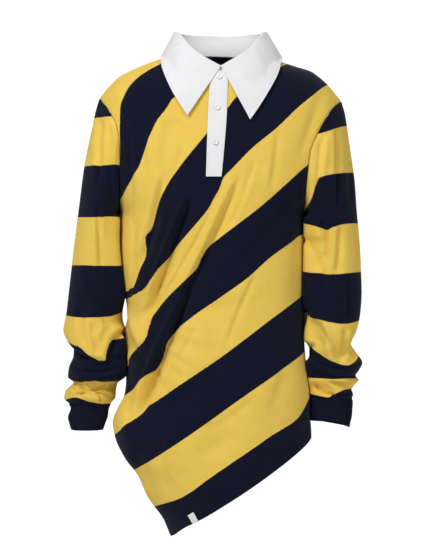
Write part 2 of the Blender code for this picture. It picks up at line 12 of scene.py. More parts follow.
import bmesh
import bpy
import numpy as np
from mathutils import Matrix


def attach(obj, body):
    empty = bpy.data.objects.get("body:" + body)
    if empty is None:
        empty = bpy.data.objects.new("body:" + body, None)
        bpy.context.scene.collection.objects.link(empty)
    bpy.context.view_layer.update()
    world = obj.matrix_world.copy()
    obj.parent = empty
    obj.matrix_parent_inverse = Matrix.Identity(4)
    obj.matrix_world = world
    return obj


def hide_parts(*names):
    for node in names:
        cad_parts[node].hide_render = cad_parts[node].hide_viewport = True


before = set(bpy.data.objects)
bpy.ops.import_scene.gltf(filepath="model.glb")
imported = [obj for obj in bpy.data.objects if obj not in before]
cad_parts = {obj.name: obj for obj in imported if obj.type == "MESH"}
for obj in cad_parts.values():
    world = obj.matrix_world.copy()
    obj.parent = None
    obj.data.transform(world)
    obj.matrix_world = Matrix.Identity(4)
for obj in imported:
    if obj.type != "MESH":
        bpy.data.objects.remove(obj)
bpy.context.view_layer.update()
MM = 0.001
print("nodes:", sorted(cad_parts))

# %% [markdown]
# ## Reading a table as a smooth curve
# A dressmaker notes a few widths down a pattern and draws a smooth line through them. A spline
# through all the points can swing out between them, so the curve used here is a cubic whose
# slopes are damped: between two notes it never goes past either. All sizes are in
# millimetres, and a drop is a distance below the middle of the neck opening. The first row of
# a table names its columns, and the table is read by the first of them.


# %% Curves through a maker's notes
def curve(at, xs, ys):
    """Cubic through the points: slopes are harmonic means of the neighbours, zero at a turn."""
    at = np.clip(np.asarray(at, float), xs[0], xs[-1])
    step = np.diff(xs)
    slope = np.diff(ys) / step
    same_way = slope[:-1] * slope[1:] > 0
    mean = 2 * slope[:-1] * slope[1:] / np.where(same_way, slope[:-1] + slope[1:], 1)
    tangent = np.concatenate([slope[:1], np.where(same_way, mean, 0), slope[-1:]])
    i = np.clip(np.searchsorted(xs, at, side="right") - 1, 0, len(xs) - 2)
    t = (at - xs[i]) / step[i]
    rise, start, end = ys[i + 1] - ys[i], tangent[i] * step[i], tangent[i + 1] * step[i]
    bend = t * t * (3 * rise - 2 * start - end) + t ** 3 * (start + end - 2 * rise)
    return ys[i] + t * start + bend


def read(table, name, at):
    """A named column of a table, read smoothly along its first column."""
    notes = np.array(table[1:], float)
    return curve(at, notes[:, 0], notes[:, table[0].index(name)])


def ease(t):
    """0 to 1 with level ends: three t squared less two t cubed."""
    t = np.clip(t, 0, 1)
    return t * t * (3 - 2 * t)


def bell(away, width):
    """1 at the middle, falling on both sides: e to the power of minus (away / width) squared."""
    return np.exp(-(away / width) ** 2)


def rounded(out, power):
    """(1 - out^p)^(1/p) with out held between 0 and 1: a quarter of a circle when p is 2."""
    return (1 - np.clip(out, 0, 1) ** power) ** (1 / power)


def unit(vectors):
    """The same directions with length one."""
    return vectors / np.maximum(np.linalg.norm(vectors, axis=-1, keepdims=True), 1e-9)


# %% [markdown]
# ## The body of the shirt
# Cut level with the floor, the worn shirt is a rounded box: wide across, shallow from front to
# back, with softly squared sides. So each level needs four numbers, the reach to the left,
# right, front and back, and one power that says how square the sides are. The shoulders close
# the form at the top in the same way.

# %% Notes of the body
SIDE_POWER = 2.4
TOP_POWER = 2.2
SHOULDER_ROUND = 90
UNDERARM = 264
SEAM = 0.05
BODY = (
    ("drop", "left", "right", "front", "back"),
    (-40, -214, 216, 76, 70), (30, -214, 216, 90, 82), (68, -213, 217, 97, 92),
    (120, -207, 205, 107, 106), (170, -196, 188, 114, 116), (220, -182, 168, 118, 121),
    (264, -168, 144, 119, 123), (306, -169, 144, 118, 122), (357, -165, 143, 116, 119),
    (413, -157, 143, 115, 118), (434, -155, 143, 115, 118), (462, -160, 144, 116, 120),
    (507, -158, 147, 118, 124), (546, -157, 152, 120, 127), (573, -161, 154, 121, 128),
    (590, -169, 154, 121, 128), (614, -180, 155, 121, 128), (640, -176, 156, 121, 127),
    (675, -160, 154, 120, 126), (705, -138, 152, 118, 124), (740, -122, 150, 114, 120),
    (780, -94, 148, 106, 112), (830, -74, 146, 92, 98),
)
SHOULDER = (
    ("x", "drop"),
    (-204, 67), (-201, 63), (-186, 45), (-169, 29), (-135, 12), (-101, -1), (-75, -10),
    (0, -28), (75, -10), (110, 5), (131, 12), (154, 19), (168, 28), (182, 40), (196, 56),
    (208, 71),
)
ARMHOLE_RIGHT = (
    ("drop", "x"),
    (66, -203), (74, -197), (84, -189), (97, -181), (116, -172), (141, -167.5), (182, -166),
    (225, -167), (264, -168),
)
ARMHOLE_LEFT = (
    ("drop", "x"),
    (71, 208), (75, 203), (82, 195), (104, 179), (141, 160), (160, 153), (182, 150),
    (243, 144.5), (264, 144),
)


# %% The body form
def middle_and_half(drop):
    """Centre and half width of the body at a drop: half the sum and half the difference."""
    left, right = read(BODY, "left", drop), read(BODY, "right", drop)
    return (left + right) / 2, (right - left) / 2


def body_depth(drop, side):
    """Reach of the body to the front, where side is below nought, or to the back."""
    return read(BODY, "front" if side < 0 else "back", drop)


def shoulder_drop(x):
    """Drop of the top line of the shoulders at x."""
    return read(SHOULDER, "drop", x)


def body_y(x, drop, side):
    """Depth times (1 - across^p)^(1/p) times the same round-off near the shoulder line."""
    middle, half = middle_and_half(drop)
    across = rounded(np.abs(x - middle) / half, SIDE_POWER)
    top = rounded(1 - (drop - shoulder_drop(x)) / SHOULDER_ROUND, TOP_POWER)
    return side * (body_depth(drop, side) * across * top + SEAM / 2)


def armhole_x(drop, wearer_left):
    """X of the armhole seam at a drop, or of the side seam below the underarm."""
    middle, half = middle_and_half(drop)
    side = middle + half if wearer_left else middle - half
    seam = read(ARMHOLE_LEFT if wearer_left else ARMHOLE_RIGHT, "x", drop)
    return np.where(np.asarray(drop) >= UNDERARM, side, seam)


print("waist", np.round(middle_and_half(434)), "shoulder", float(shoulder_drop(0)))

# %% [markdown]
# ## The outline of a panel
# The front and the back are the same form cut along the same side seams, armholes and
# shoulders. They differ at the neck, which is lower in front, and in depth. A panel is a grid:
# u runs from the wearer's right side seam to the left one, and the rows run from the hem up.
# The hem is one slanting plane, so its drop is found by stepping towards the plane.

# %% Notes of the panel's edges
PANEL_COLUMNS = 210
NECK_COLUMN = 75
HEM_ROWS = 18
HEM_STEP = 1.5
LOWER_ROWS = 128
UPPER_ROWS = 68
EDGE_STEPS = 30
NECK_FRONT = 0.95
NECK_BACK = 0.66
NECK_HALF = 75
NECK_SHIFT = -3
NECK_LOW = 130
NECK_RUN = 100
HEM_DROP = 738
HEM_RISE_X = 0.654
HEM_RISE_Y = 0.13
HEM_CORNER = 14
HEM_CORNER_FROM = -50
HEM_CORNER_RUN = 34


# %% Edges of a panel
def neck_share(u):
    """-1 to 1 from one end of the neckline to the other, and no further."""
    return np.clip((u - 0.5) / (0.5 - NECK_COLUMN / PANEL_COLUMNS), -1, 1)


def panel_x(u, drop):
    """Middle plus half width times the sine of an angle that u shares out between the seams."""
    middle, half = middle_and_half(drop)
    start = np.arcsin(np.clip((armhole_x(drop, False) - middle) / half, -1, 1))
    end = np.arcsin(np.clip((armhole_x(drop, True) - middle) / half, -1, 1))
    x = middle + half * np.sin(start + (end - start) * u)
    share = neck_share(u)
    round_neck = NECK_HALF * (np.sin(share * math.pi / 2) - share)
    shift = NECK_SHIFT * ease(1 - np.abs(u - 0.5) / 0.4)
    return x + ease((NECK_LOW - drop) / NECK_RUN) * (round_neck + shift)


def hem_drop(u, side):
    """Drop where the panel meets the slanting hem plane, found step by step."""
    drop = np.full_like(u, HEM_DROP)
    for _ in range(EDGE_STEPS):
        x = panel_x(u, drop)
        corner = HEM_CORNER * np.clip((HEM_CORNER_FROM - x) / HEM_CORNER_RUN, 0, 1) ** 2
        drop = HEM_DROP - HEM_RISE_X * x - HEM_RISE_Y * body_y(x, drop, side) + corner
    return drop


def top_drop(u, side):
    """Shoulder line plus the fall of the neckline, a cosine deep in the body's rounding."""
    reach = (NECK_FRONT if side < 0 else NECK_BACK) * np.cos(neck_share(u) * math.pi / 2)
    fall = SHOULDER_ROUND * (1 - rounded(reach, TOP_POWER))
    drop = np.zeros_like(u)
    for _ in range(EDGE_STEPS):
        drop = shoulder_drop(panel_x(u, drop)) + fall
    return drop


# %% [markdown]
# ## Folds
# Jersey hangs in long soft folds that run to where it is pulled, here the wearer's right hip.
# A fold is drawn as a path through three points. Across the path the cloth sinks as a bell
# curve. Where `lean` isn't nought, the side to the left of the path (below nought: to the
# right) falls more steeply and swells beside it, as cloth does that is pushed up to one side.
# A row of the notes gives x and drop of the three points, the width, the rise and the lean.

# %% Notes of the folds
FRONT_FOLDS = (
    (24, 212, -50, 400, -150, 618, 22, -4, 0),
    (38, 196, -18, 318, -66, 418, 9, -8, 0.35),
    (-46, 388, -95, 490, -143, 612, 9, -17, 0.35),
    (4, 236, -34, 328, -84, 430, 10, 3.5, 0),
    (-8, 248, -48, 326, -94, 402, 3.6, -2.6, 0.25),
    (-44, 232, -84, 332, -127, 446, 10, -14, 0.4),
    (-86, 186, -108, 270, -132, 356, 11, -7, 0.3),
    (-76, 100, -88, 150, -98, 214, 15, -4, 0.2),
    (-119, 45, -125, 126, -128, 210, 12, -4, 0),
    (-146, 416, -143, 456, -125, 484, 8, 5, 0),
    (-164, 434, -156, 468, -141, 500, 11, -7, 0),
    (-120, 396, -126, 424, -128, 450, 6, -2.5, 0.3),
    (-168, 560, -160, 620, -136, 675, 14, 6, 0),
    (-152, 566, -148, 600, -140, 640, 7, -3, 0.3),
    (64, 358, 37, 416, 10, 486, 6.5, -2.6, 0.25),
    (26, 624, -2, 646, -36, 668, 18, -4, 0),
    (172, 55, 158, 110, 136, 176, 10, -4, 0),
    (-62, 150, -74, 200, -92, 262, 7, -2, 0.3),
    (-112, 60, -112, 130, -106, 214, 6, -1.8, 0.3),
    (-152, 120, -148, 180, -146, 250, 8, -2.4, -0.3),
    (-146, 262, -142, 322, -146, 392, 7, -2.6, 0.3),
    (96, 122, 94, 170, 84, 226, 8, -2.2, 0.3),
    (62, 172, 40, 236, 14, 296, 6, -2, -0.3),
    (112, 250, 74, 300, 26, 344, 12, -2.4, 0.3),
    (134, 196, 134, 300, 128, 396, 9, -2.6, -0.3),
    (128, 420, 110, 520, 84, 600, 16, -2.4, 0.3),
    (20, 492, -30, 540, -88, 586, 14, -2.6, 0.3),
    (-66, 560, -92, 620, -100, 690, 13, -2.6, -0.3),
    (64, 560, 20, 600, -30, 624, 12, -2, 0.3),
    (-26, 430, -66, 500, -96, 560, 7, -1.8, 0.3),
    (-162, 640, -128, 690, -108, 760, 9, -2.6, 0.3),
    (-98, 700, -60, 742, -34, 768, 12, -1.8, 0),
)
BACK_FOLDS = (
    (30, 190, -50, 300, -148, 420, 14, -8, 0.3),
    (56, 250, -36, 372, -140, 462, 16, 6, 0),
    (96, 360, 0, 486, -132, 596, 15, -8, 0.3),
    (-98, 90, -108, 170, -112, 262, 14, -5, 0.2),
    (104, 84, 106, 160, 98, 250, 14, -4, -0.2),
    (110, 500, 60, 570, 0, 640, 18, -4, 0.3),
    (70, 150, 20, 236, -60, 330, 7, -2, 0.3),
    (-30, 330, -80, 392, -138, 440, 6, -2.2, -0.3),
    (50, 420, -30, 500, -126, 552, 7, -2.4, 0.3),
    (30, 560, -30, 622, -96, 680, 12, -2.2, 0.3),
    (60, 60, 64, 130, 56, 210, 9, -1.6, 0.3),
    (-40, 60, -50, 130, -58, 220, 9, -1.6, -0.3),
    (132, 270, 126, 360, 100, 440, 9, -2.2, 0.3),
    (-136, 520, -130, 590, -112, 650, 8, -2, 0.3),
    (0, 100, -6, 160, -2, 230, 14, -1.6, 0),
)
PULL_POINT = (-168, 452)
PULL_HEIGHT = 1.0
FOLD_REACH = 4
FOLD_STEEPER = 1.4
FOLD_BESIDE = 1.2


# %% From paths to heights
def path_of(x1, d1, x2, d2, x3, d3, count=21):
    """Points of the parabola through three points, its middle one at half way."""
    t = np.linspace(0, 1, count)
    through_x, through_d = 2 * x2 - (x1 + x3) / 2, 2 * d2 - (d1 + d3) / 2
    return ((1 - t) ** 2 * x1 + 2 * t * (1 - t) * through_x + t * t * x3,
            (1 - t) ** 2 * d1 + 2 * t * (1 - t) * through_d + t * t * d3)


def along_path(x, drop, path_x, path_d):
    """Signed distance to the nearest point of a path, and how far along the path it lies."""
    step_x, step_d = np.diff(path_x), np.diff(path_d)
    to_x, to_d = x[..., None] - path_x[:-1], drop[..., None] - path_d[:-1]
    t = np.clip((to_x * step_x + to_d * step_d) / (step_x ** 2 + step_d ** 2), 0, 1)
    off_x, off_d = to_x - t * step_x, to_d - t * step_d
    away = off_x ** 2 + off_d ** 2
    best = away.argmin(-1)[..., None]
    side = np.sign(np.take_along_axis(step_x * off_d - step_d * off_x, best, -1)[..., 0])
    along = (best + np.take_along_axis(t, best, -1))[..., 0] / len(step_x)
    return side * np.sqrt(np.take_along_axis(away, best, -1)[..., 0]), along


def fold_rise(x, drop, folds):
    """Sum over the folds of rise times a bell across the path, fading at both its ends."""
    total = np.zeros_like(x)
    for *points, width, rise, lean in folds:
        xs, drops, reach = points[::2], points[1::2], FOLD_REACH * width
        near = ((x > min(xs) - reach) & (x < max(xs) + reach)
                & (drop > min(drops) - reach) & (drop < max(drops) + reach))
        away, along = along_path(x[near], drop[near], *path_of(*points))
        steep = away * lean > 0
        wide = width * np.where(steep, 1 - FOLD_STEEPER * abs(lean), 1)
        beside = FOLD_BESIDE * abs(lean) * bell(np.abs(away) - 2 * wide, 1.3 * wide) * steep
        fade = ease(np.sin(np.pi * along) * 1.6 + 0.05)
        total[near] += rise * fade * (bell(away, wide) - beside)
    return total


def pull_rise(x, drop):
    """Faint ripples that fan out from the hip: a sum of sines of the angle around it."""
    off_x, off_d = x - PULL_POINT[0], drop - PULL_POINT[1]
    reach = np.hypot(off_x, off_d)
    angle = np.arctan2(off_d, off_x)
    waves = (np.sin(17 * angle + 0.7) + 0.8 * np.sin(29 * angle + 2.1 + reach / 90)
             + 0.5 * np.sin(43 * angle + 4.0 - reach / 60))
    return PULL_HEIGHT * waves * ease(reach / 90) * bell(reach, 230)


def hang_rise(x, drop):
    """Long unevenness of hanging cloth: three slow waves, mostly running downwards."""
    return (0.7 * np.sin(x / 17 + drop / 130 + 0.4) * np.sin(drop / 90 + 1.1)
            + 0.5 * np.sin(x / 31 - drop / 57 + 2.0) + 0.4 * np.sin(x / 12 + drop / 210 + 3.3)
            * np.sin(drop / 61 + x / 70))


print("folds drawn:", len(FRONT_FOLDS), "in front,", len(BACK_FOLDS), "behind")

# %% [markdown]
# ## Stripes
# The cloth is knitted in navy and yellow bands, about 80 mm each, and the panels are cut on the
# slant. Painting the bands as flat parallels would miss how the folds swallow them, so the
# front has its own notes: for each edge between two bands, where it crosses at a few drops.
# The stripe number counts the edges up from the hem, with fractions in between. For the back
# that number is noted along both side seams. It goes into the cloth's UV map as a length, and
# the material turns it into colour.

# %% Notes of the stripe edges
BAND = 80
EDGE_SLOPE = -1.45
HEM_BAND_LOWER = 14
LAST_BAND = 120
FRONT_EDGES = (
    ((573, 151), (604, 131), (635, 82), (667, 34), (700, -14), (735, -63), (751, -102)),
    ((490, 151), (504, 133), (536, 85), (568, 38), (601, -8), (634, -55), (669, -107), (689, -137)),
    ((404, 135), (437, 89), (470, 45), (502, 2), (535, -47), (569, -97), (586, -123), (603, -141),
     (625, -162)),
    ((304, 130), (337, 85), (370, 47), (403, 1), (436, -47), (470, -88), (486, -95), (503, -102),
     (520, -110), (537, -125), (555, -144), (573, -160)),
    ((187, 141), (221, 104), (255, 65), (288, 22), (304, 1), (321, -19), (337, -29), (354, -37),
     (370, -52), (404, -87), (420, -100), (437, -112), (454, -117), (470, -121), (484, -131),
     (492, -144), (502, -148), (518, -153)),
    ((51, 173), (88, 130), (122, 95), (155, 55), (189, 22), (205, 7), (222, 1), (238, -8),
     (255, -17), (288, -44), (321, -73), (354, -99), (370, -109), (387, -124), (404, -153)),
    ((8, 115), (72, 27), (89, 14), (139, -27), (172, -54), (205, -79), (222, -90), (238, -99),
     (255, -105), (288, -115), (304, -124), (337, -126), (354, -132), (370, -139), (387, -144)),
    ((67, -71), (72, -77), (88, -87), (105, -100), (122, -110), (138, -117), (155, -123),
     (171, -129), (188, -135), (204, -146), (220, -155), (236, -163)),
    ((11, -99), (18, -113), (35, -137), (52, -152), (69, -160), (86, -165), (170, -166)),
)
BACK_SEAMS = (
    ("drop", "right", "left"),
    (-60, 10.5, 6.8), (80, 9.3, 5.7), (200, 8.25, 4.86), (260, 7.7, 4.37), (320, 7.27, 3.76),
    (380, 6.95, 3.2), (440, 5.55, 2.58), (500, 4.94, 1.93), (560, 4.1, 1.14), (620, 3.32, 0.5),
    (680, 2.28, 0.05), (740, 1.35, 0.03), (800, 0.12, 0.02),
)


# %% The stripe number of a place on the body
def edge_x(points, drop):
    """X of one stripe edge: a smooth curve, run on in a straight line past both its ends."""
    drops, xs = np.array(points, float).T
    first, last = np.minimum(drop - drops[0], 0), np.maximum(drop - drops[-1], 0)
    return curve(drop, drops, xs) + EDGE_SLOPE * (first + last)


def front_stripe(x, drop):
    """Whole edges to the right of x, plus the share of the band that x lies in."""
    hem = (HEM_DROP + HEM_BAND_LOWER - drop) / HEM_RISE_X
    edges = [hem] + [edge_x(points, drop) for points in FRONT_EDGES]
    edges.append(edges[-1] - LAST_BAND)
    for place in range(1, len(edges)):
        edges[place] = np.minimum(edges[place], edges[place - 1] - 2)
    shares = [np.clip((right - x) / (right - left), 0, 1)
              for right, left in zip(edges[:-1], edges[1:])]
    return np.maximum(sum(shares), 0.02)


def back_stripe(x, drop):
    """The numbers of both side seams, mixed by the angle that x takes round the back."""
    middle, half = middle_and_half(drop)
    share = np.arcsin(np.clip((x - middle) / half, -1, 1)) / math.pi + 0.5
    right, left = read(BACK_SEAMS, "right", drop), read(BACK_SEAMS, "left", drop)
    bow = 0.25 * np.sin(math.pi * share) * np.sin(drop / 150 + 1)
    return np.maximum(right + (left - right) * share + bow, 0.02)


print("stripe numbers at the front's middle:",
      np.round(front_stripe(np.zeros(4), np.array([120.0, 300.0, 500.0, 700.0])), 2))

# %% [markdown]
# ## From a grid to cloth
# A sewn piece of cloth has an outer face, an inner face and raw or turned edges. The Solidify
# modifier can make the wall, but then the rims share the face's pattern coordinates. Here the
# wall is put together directly: the grid is the outer face, the same grid moved inwards is the
# inner one, and strips of quads close the rims.


# %% Working with grids
def closed(grid):
    """The grid with its first column once more at the end."""
    return np.concatenate([grid, grid[:, :1]], axis=1)


def quads(index):
    """The four corner numbers of every cell of a grid of numbers."""
    corners = (index[..., :-1, :-1], index[..., :-1, 1:], index[..., 1:, 1:], index[..., 1:, :-1])
    return np.stack(corners, -1).reshape(-1, 4)


def running_length(grid, axis):
    """Length along the grid from its first row or column: the running sum of the steps."""
    step = np.diff(grid, axis=axis, prepend=np.take(grid, [0], axis))
    return np.cumsum(np.linalg.norm(step, axis=-1), axis=axis)


def normals(grid, around=False):
    """Cross product of the steps along and across the grid, scaled to length one."""
    if around:
        wide = np.concatenate([grid[:, -1:], grid, grid[:, :1]], axis=1)
        across = wide[:, 2:] - wide[:, :-2]
    else:
        across = np.gradient(grid, axis=1)
    return unit(np.cross(across, np.gradient(grid, axis=0)))


def smoothed(grid, times):
    """Each inner point moved to a quarter of the sum of its four neighbours, several times."""
    for _ in range(times):
        mean = grid.copy()
        beside = (grid[1:-1, :-2] + grid[1:-1, 2:]) / 2
        mean[1:-1, 1:-1] = (beside + (grid[:-2, 1:-1] + grid[2:, 1:-1]) / 2) / 2
        grid = mean
    return grid


# %% Walls, meshes and the imported parts they hide
def place(name, data):
    """A new object at the origin that shows a mesh, a lamp or a camera."""
    made = bpy.data.objects.new(name, data)
    bpy.context.scene.collection.objects.link(made)
    return made


def add_mesh(name, points, faces, material, pattern=None, crisp=55):
    """A mesh object at the origin with its place in its mesh. Points are in millimetres."""
    mesh = bpy.data.meshes.new(name)
    mesh.from_pydata((points * MM).tolist(), [], faces.tolist())
    if pattern is not None:
        uvs = mesh.uv_layers.new(name="Cloth").data
        uvs.foreach_set("uv", pattern.astype(np.float32).ravel())
    mesh.update()
    mesh.shade_smooth()
    mesh.set_sharp_from_angle(angle=math.radians(crisp))
    mesh.materials.append(material)
    piece = place(name, mesh)
    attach(piece, "root")
    return piece


def cloth(name, grid, normal, thick, across, along, material, around=False):
    """Closed wall of quads; across and along are the UV lengths in millimetres."""
    rows, columns = grid.shape[:2]
    inner = rows * columns
    points = np.concatenate([grid.reshape(-1, 3), (grid - normal * thick).reshape(-1, 3)])
    vertex = np.arange(inner).reshape(rows, columns)
    if around:
        vertex, along = closed(vertex), closed(along)
        across = np.concatenate([across, 2 * across[:, -1:] - across[:, -2:-1]], 1)
    corner = np.arange(vertex.size).reshape(vertex.shape)
    outer, outer_uv = quads(vertex), quads(corner)
    faces, uvs = [outer, outer[:, ::-1] + inner], [outer_uv, outer_uv[:, ::-1]]
    rims = [(vertex[0, ::-1], corner[0, ::-1]), (vertex[-1], corner[-1])]
    if not around:
        rims += [(vertex[:, 0], corner[:, 0]), (vertex[::-1, -1], corner[::-1, -1])]
    for rim, rim_uv in rims:
        p, q, a, b = rim[:-1], rim[1:], rim_uv[:-1], rim_uv[1:]
        faces.append(np.stack([p + inner, q + inner, q, p], -1))
        uvs.append(np.stack([a, b, b, a], -1))
    lengths = np.stack([across.ravel(), along.ravel()], -1) * MM
    pattern = lengths[np.concatenate(uvs).ravel()]
    return add_mesh(name, points, np.concatenate(faces), material, pattern)


def state_sheet(piece, node, slot, grid, digits, **cut):
    """Hides the imported part that a cloth piece stands for; piece, slot, grid, digits and cut are
    not used.
    """
    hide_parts(node)


# %% [markdown]
# ## Materials from nodes
# Cotton jersey is matt, with a soft bloom where the light grazes it. Colour comes from the
# stripe length in the UV map: its sine changes sign at every edge, and a steep ramp makes that
# a crisp change of yarn. Knit loops are too small to model, so a bump of two crossed waves
# stands for them. An image of cloth would do as well, but would blur or repeat up close.


# %% A short way to write node graphs
class Graph:
    """A material with a Principled shader, and short calls that add and join nodes."""

    def __init__(self, name, **settings):
        self.material = bpy.data.materials.new(name)
        self.material.use_nodes = True
        self.tree = self.material.node_tree
        self.shader = self.tree.nodes["Principled BSDF"]
        for socket, value in settings.items():
            self.shader.inputs[socket.replace("_", " ")].default_value = value

    def put(self, socket, value):
        """Links a node's output, or sets a plain value."""
        if isinstance(value, bpy.types.NodeSocket):
            self.tree.links.new(value, socket)
        else:
            socket.default_value = value

    def node(self, kind, inputs=None, **settings):
        """A new node with its settings and its inputs."""
        made = self.tree.nodes.new(kind)
        for name, value in settings.items():
            setattr(made, name, value)
        for name, value in (inputs or {}).items():
            self.put(made.inputs[name], value)
        return made

    def math(self, operation, *values):
        """One step of arithmetic."""
        made = self.node("ShaderNodeMath", operation=operation)
        for socket, value in enumerate(values):
            self.put(made.inputs[socket], value)
        return made.outputs[0]

    def noise(self, scale, detail=2):
        """Soft noise fixed to the piece, so many bumps to the metre."""
        where = self.node("ShaderNodeTexCoord").outputs["Object"]
        inputs = {"Vector": where, "Scale": scale, "Detail": detail}
        return self.node("ShaderNodeTexNoise", inputs).outputs[0]

    def lengths(self):
        """The two lengths of the cloth's UV map, in metres."""
        made = self.node("ShaderNodeUVMap", uv_map="Cloth")
        parts = self.node("ShaderNodeSeparateXYZ", {0: made.outputs[0]})
        return parts.outputs[0], parts.outputs[1]

    def wave(self, length, pitch):
        """Sine of a length that turns once in each pitch."""
        return self.math("SINE", self.math("MULTIPLY", length, 2 * math.pi / pitch))

    def mix(self, share, first, second):
        """A colour between two others."""
        made = self.node("ShaderNodeMix", data_type="RGBA")
        for socket, value in ((0, share), (6, first), (7, second)):
            self.put(made.inputs[socket], value)
        return made.outputs[2]

    def tint(self, share, first, second):
        """The shader's base colour, mixed from two."""
        self.put(self.shader.inputs["Base Color"], self.mix(share, first, second))

    def bump(self, height, distance, strength=0.6):
        """Height lines that tilt the shading, as deep as the distance in metres."""
        made = self.node("ShaderNodeBump", {"Height": height, "Distance": distance,
                                            "Strength": strength})
        self.tree.links.new(made.outputs[0], self.shader.inputs["Normal"])


NAVY = (0.0048, 0.0062, 0.0175, 1)
NAVY_WORN = (0.0078, 0.0098, 0.0245, 1)
YELLOW = (0.810, 0.575, 0.112, 1)
YELLOW_DEEP = (0.750, 0.500, 0.080, 1)
WHITE = (0.760, 0.752, 0.765, 1)
WHITE_SOFT = (0.715, 0.707, 0.720, 1)
KNIT = {"Roughness": 0.9, "Specular_IOR_Level": 0.05, "Sheen_Weight": 0.035,
        "Sheen_Roughness": 0.5}
WALE = 0.0013
COURSE = 0.0011
RIB_COURSE = 0.0010
WOVEN_PITCH = 0.0007


# %% Striped jersey
def knit_height(graph, across, along, course):
    """Product of two sines: columns of loops crossed by rows of loops."""
    rows = graph.math("ADD", graph.wave(along, course), 1.4)
    loops = graph.math("MULTIPLY", graph.wave(across, WALE), rows)
    return graph.math("MULTIPLY_ADD", graph.noise(2600), 1.6, loops)


def striped_jersey():
    """Navy where the sine of the stripe length is above nought, yellow where it is below."""
    graph = Graph("striped_jersey", **KNIT)
    across, along = graph.lengths()
    uneven = graph.math("MULTIPLY_ADD", graph.noise(420), 0.0010, -0.0005)
    band = graph.wave(graph.math("ADD", along, uneven), 2 * BAND * MM)
    share = graph.node("ShaderNodeClamp", {0: graph.math("MULTIPLY_ADD", band, -30, 0.5)})
    mottle = graph.noise(55, 3)
    navy = graph.mix(graph.math("MULTIPLY", mottle, 0.5), NAVY, NAVY_WORN)
    graph.tint(share.outputs[0], navy, graph.mix(mottle, YELLOW, YELLOW_DEEP))
    graph.bump(knit_height(graph, across, along, COURSE), 0.00012)
    return graph.material


JERSEY_CLOTH = striped_jersey()

# %% [markdown]
# ## Rib, woven cotton, thread and buttons
# The cuffs are a plain navy rib knit, which stretches round the wrist. The collar and the
# front strip are a close white weave, stiffer and smoother than the jersey. Thread is a twisted
# strand with a little shine, and the buttons are cast resin with a satin gloss.


# %% The plain finishes
def navy_rib():
    """Navy yarn with fine loops and a faint bloom on the ridges."""
    graph = Graph("navy_rib", **KNIT)
    graph.tint(graph.noise(160, 3), NAVY, NAVY_WORN)
    graph.bump(knit_height(graph, *graph.lengths(), RIB_COURSE), 0.00015)
    return graph.material


def white_cotton():
    """Plain weave: warp and weft threads as two sines, with slubs from noise."""
    graph = Graph("white_cotton", Roughness=0.72, Specular_IOR_Level=0.3, Sheen_Weight=0.12,
                  Sheen_Roughness=0.4)
    warp, weft = [graph.wave(length, WOVEN_PITCH) for length in graph.lengths()]
    graph.tint(graph.noise(70, 3), WHITE, WHITE_SOFT)
    threads = graph.math("MULTIPLY", warp, weft)
    graph.bump(graph.math("MULTIPLY_ADD", graph.noise(900, 3), 2.4, threads), 0.00007)
    return graph.material


def thread(name, color, deep, gloss):
    """Twisted sewing thread: a mottled colour and a slight gloss."""
    graph = Graph(name, Roughness=0.7, Specular_IOR_Level=gloss, Sheen_Weight=0.03)
    graph.tint(graph.noise(1800), color, deep)
    graph.bump(graph.noise(5200, 1), 0.00008, 0.5)
    return graph.material


def button_resin():
    """Cast resin: cloudy white with a satin gloss that wear has made a little uneven."""
    graph = Graph("button_resin", Specular_IOR_Level=0.5, Coat_Weight=0.25, Coat_Roughness=0.2)
    graph.tint(graph.noise(260, 3), (0.86, 0.85, 0.83, 1), (0.74, 0.73, 0.71, 1))
    worn = graph.math("MULTIPLY_ADD", graph.noise(700), 0.15, 0.22)
    graph.put(graph.shader.inputs["Roughness"], worn)
    graph.bump(graph.noise(400), 0.00003, 0.4)
    return graph.material


RIB_KNIT = navy_rib()
WHITE_COTTON = white_cotton()
WHITE_THREAD = thread("white_thread", (0.84, 0.83, 0.83, 1), (0.62, 0.61, 0.61, 1), 0.35)
NAVY_THREAD = thread("navy_thread", (0.0070, 0.0085, 0.0190, 1), (0.0050, 0.0062, 0.0140, 1),
                     0.08)
BUTTON_RESIN = button_resin()
print("materials:", sorted(material.name for material in bpy.data.materials))

# %% [markdown]
# ## Sewing lines
# A seam is read by its stitches: short dashes of thread that rise from the cloth and dive back
# into it. Each dash is a small tube of four rings, and a row of them is laid along a path at
# even steps of its length, all as one array and one mesh.

# %% Rows of stitches
STITCH_SIDES = 5
STITCH_RISE = (-0.35, 1, 1, -0.35)
STITCH_SHARE = (0, 0.22, 0.78, 1)


def line_at(at, run, line):
    """Places on a line of points, read at running lengths."""
    return np.stack([np.interp(at, run, line[:, k]) for k in range(3)], -1)


def mend(piece, holes=0, merge=0):
    """Merges doubled points, fills open ends and turns all the faces outwards."""
    work = bmesh.new()
    work.from_mesh(piece.data)
    if merge:
        bmesh.ops.remove_doubles(work, verts=work.verts, dist=merge)
    if holes:
        open_edges = [edge for edge in work.edges if edge.is_boundary]
        bmesh.ops.holes_fill(work, edges=open_edges, sides=holes)
    bmesh.ops.recalc_face_normals(work, faces=work.faces)
    work.to_mesh(piece.data)
    work.free()


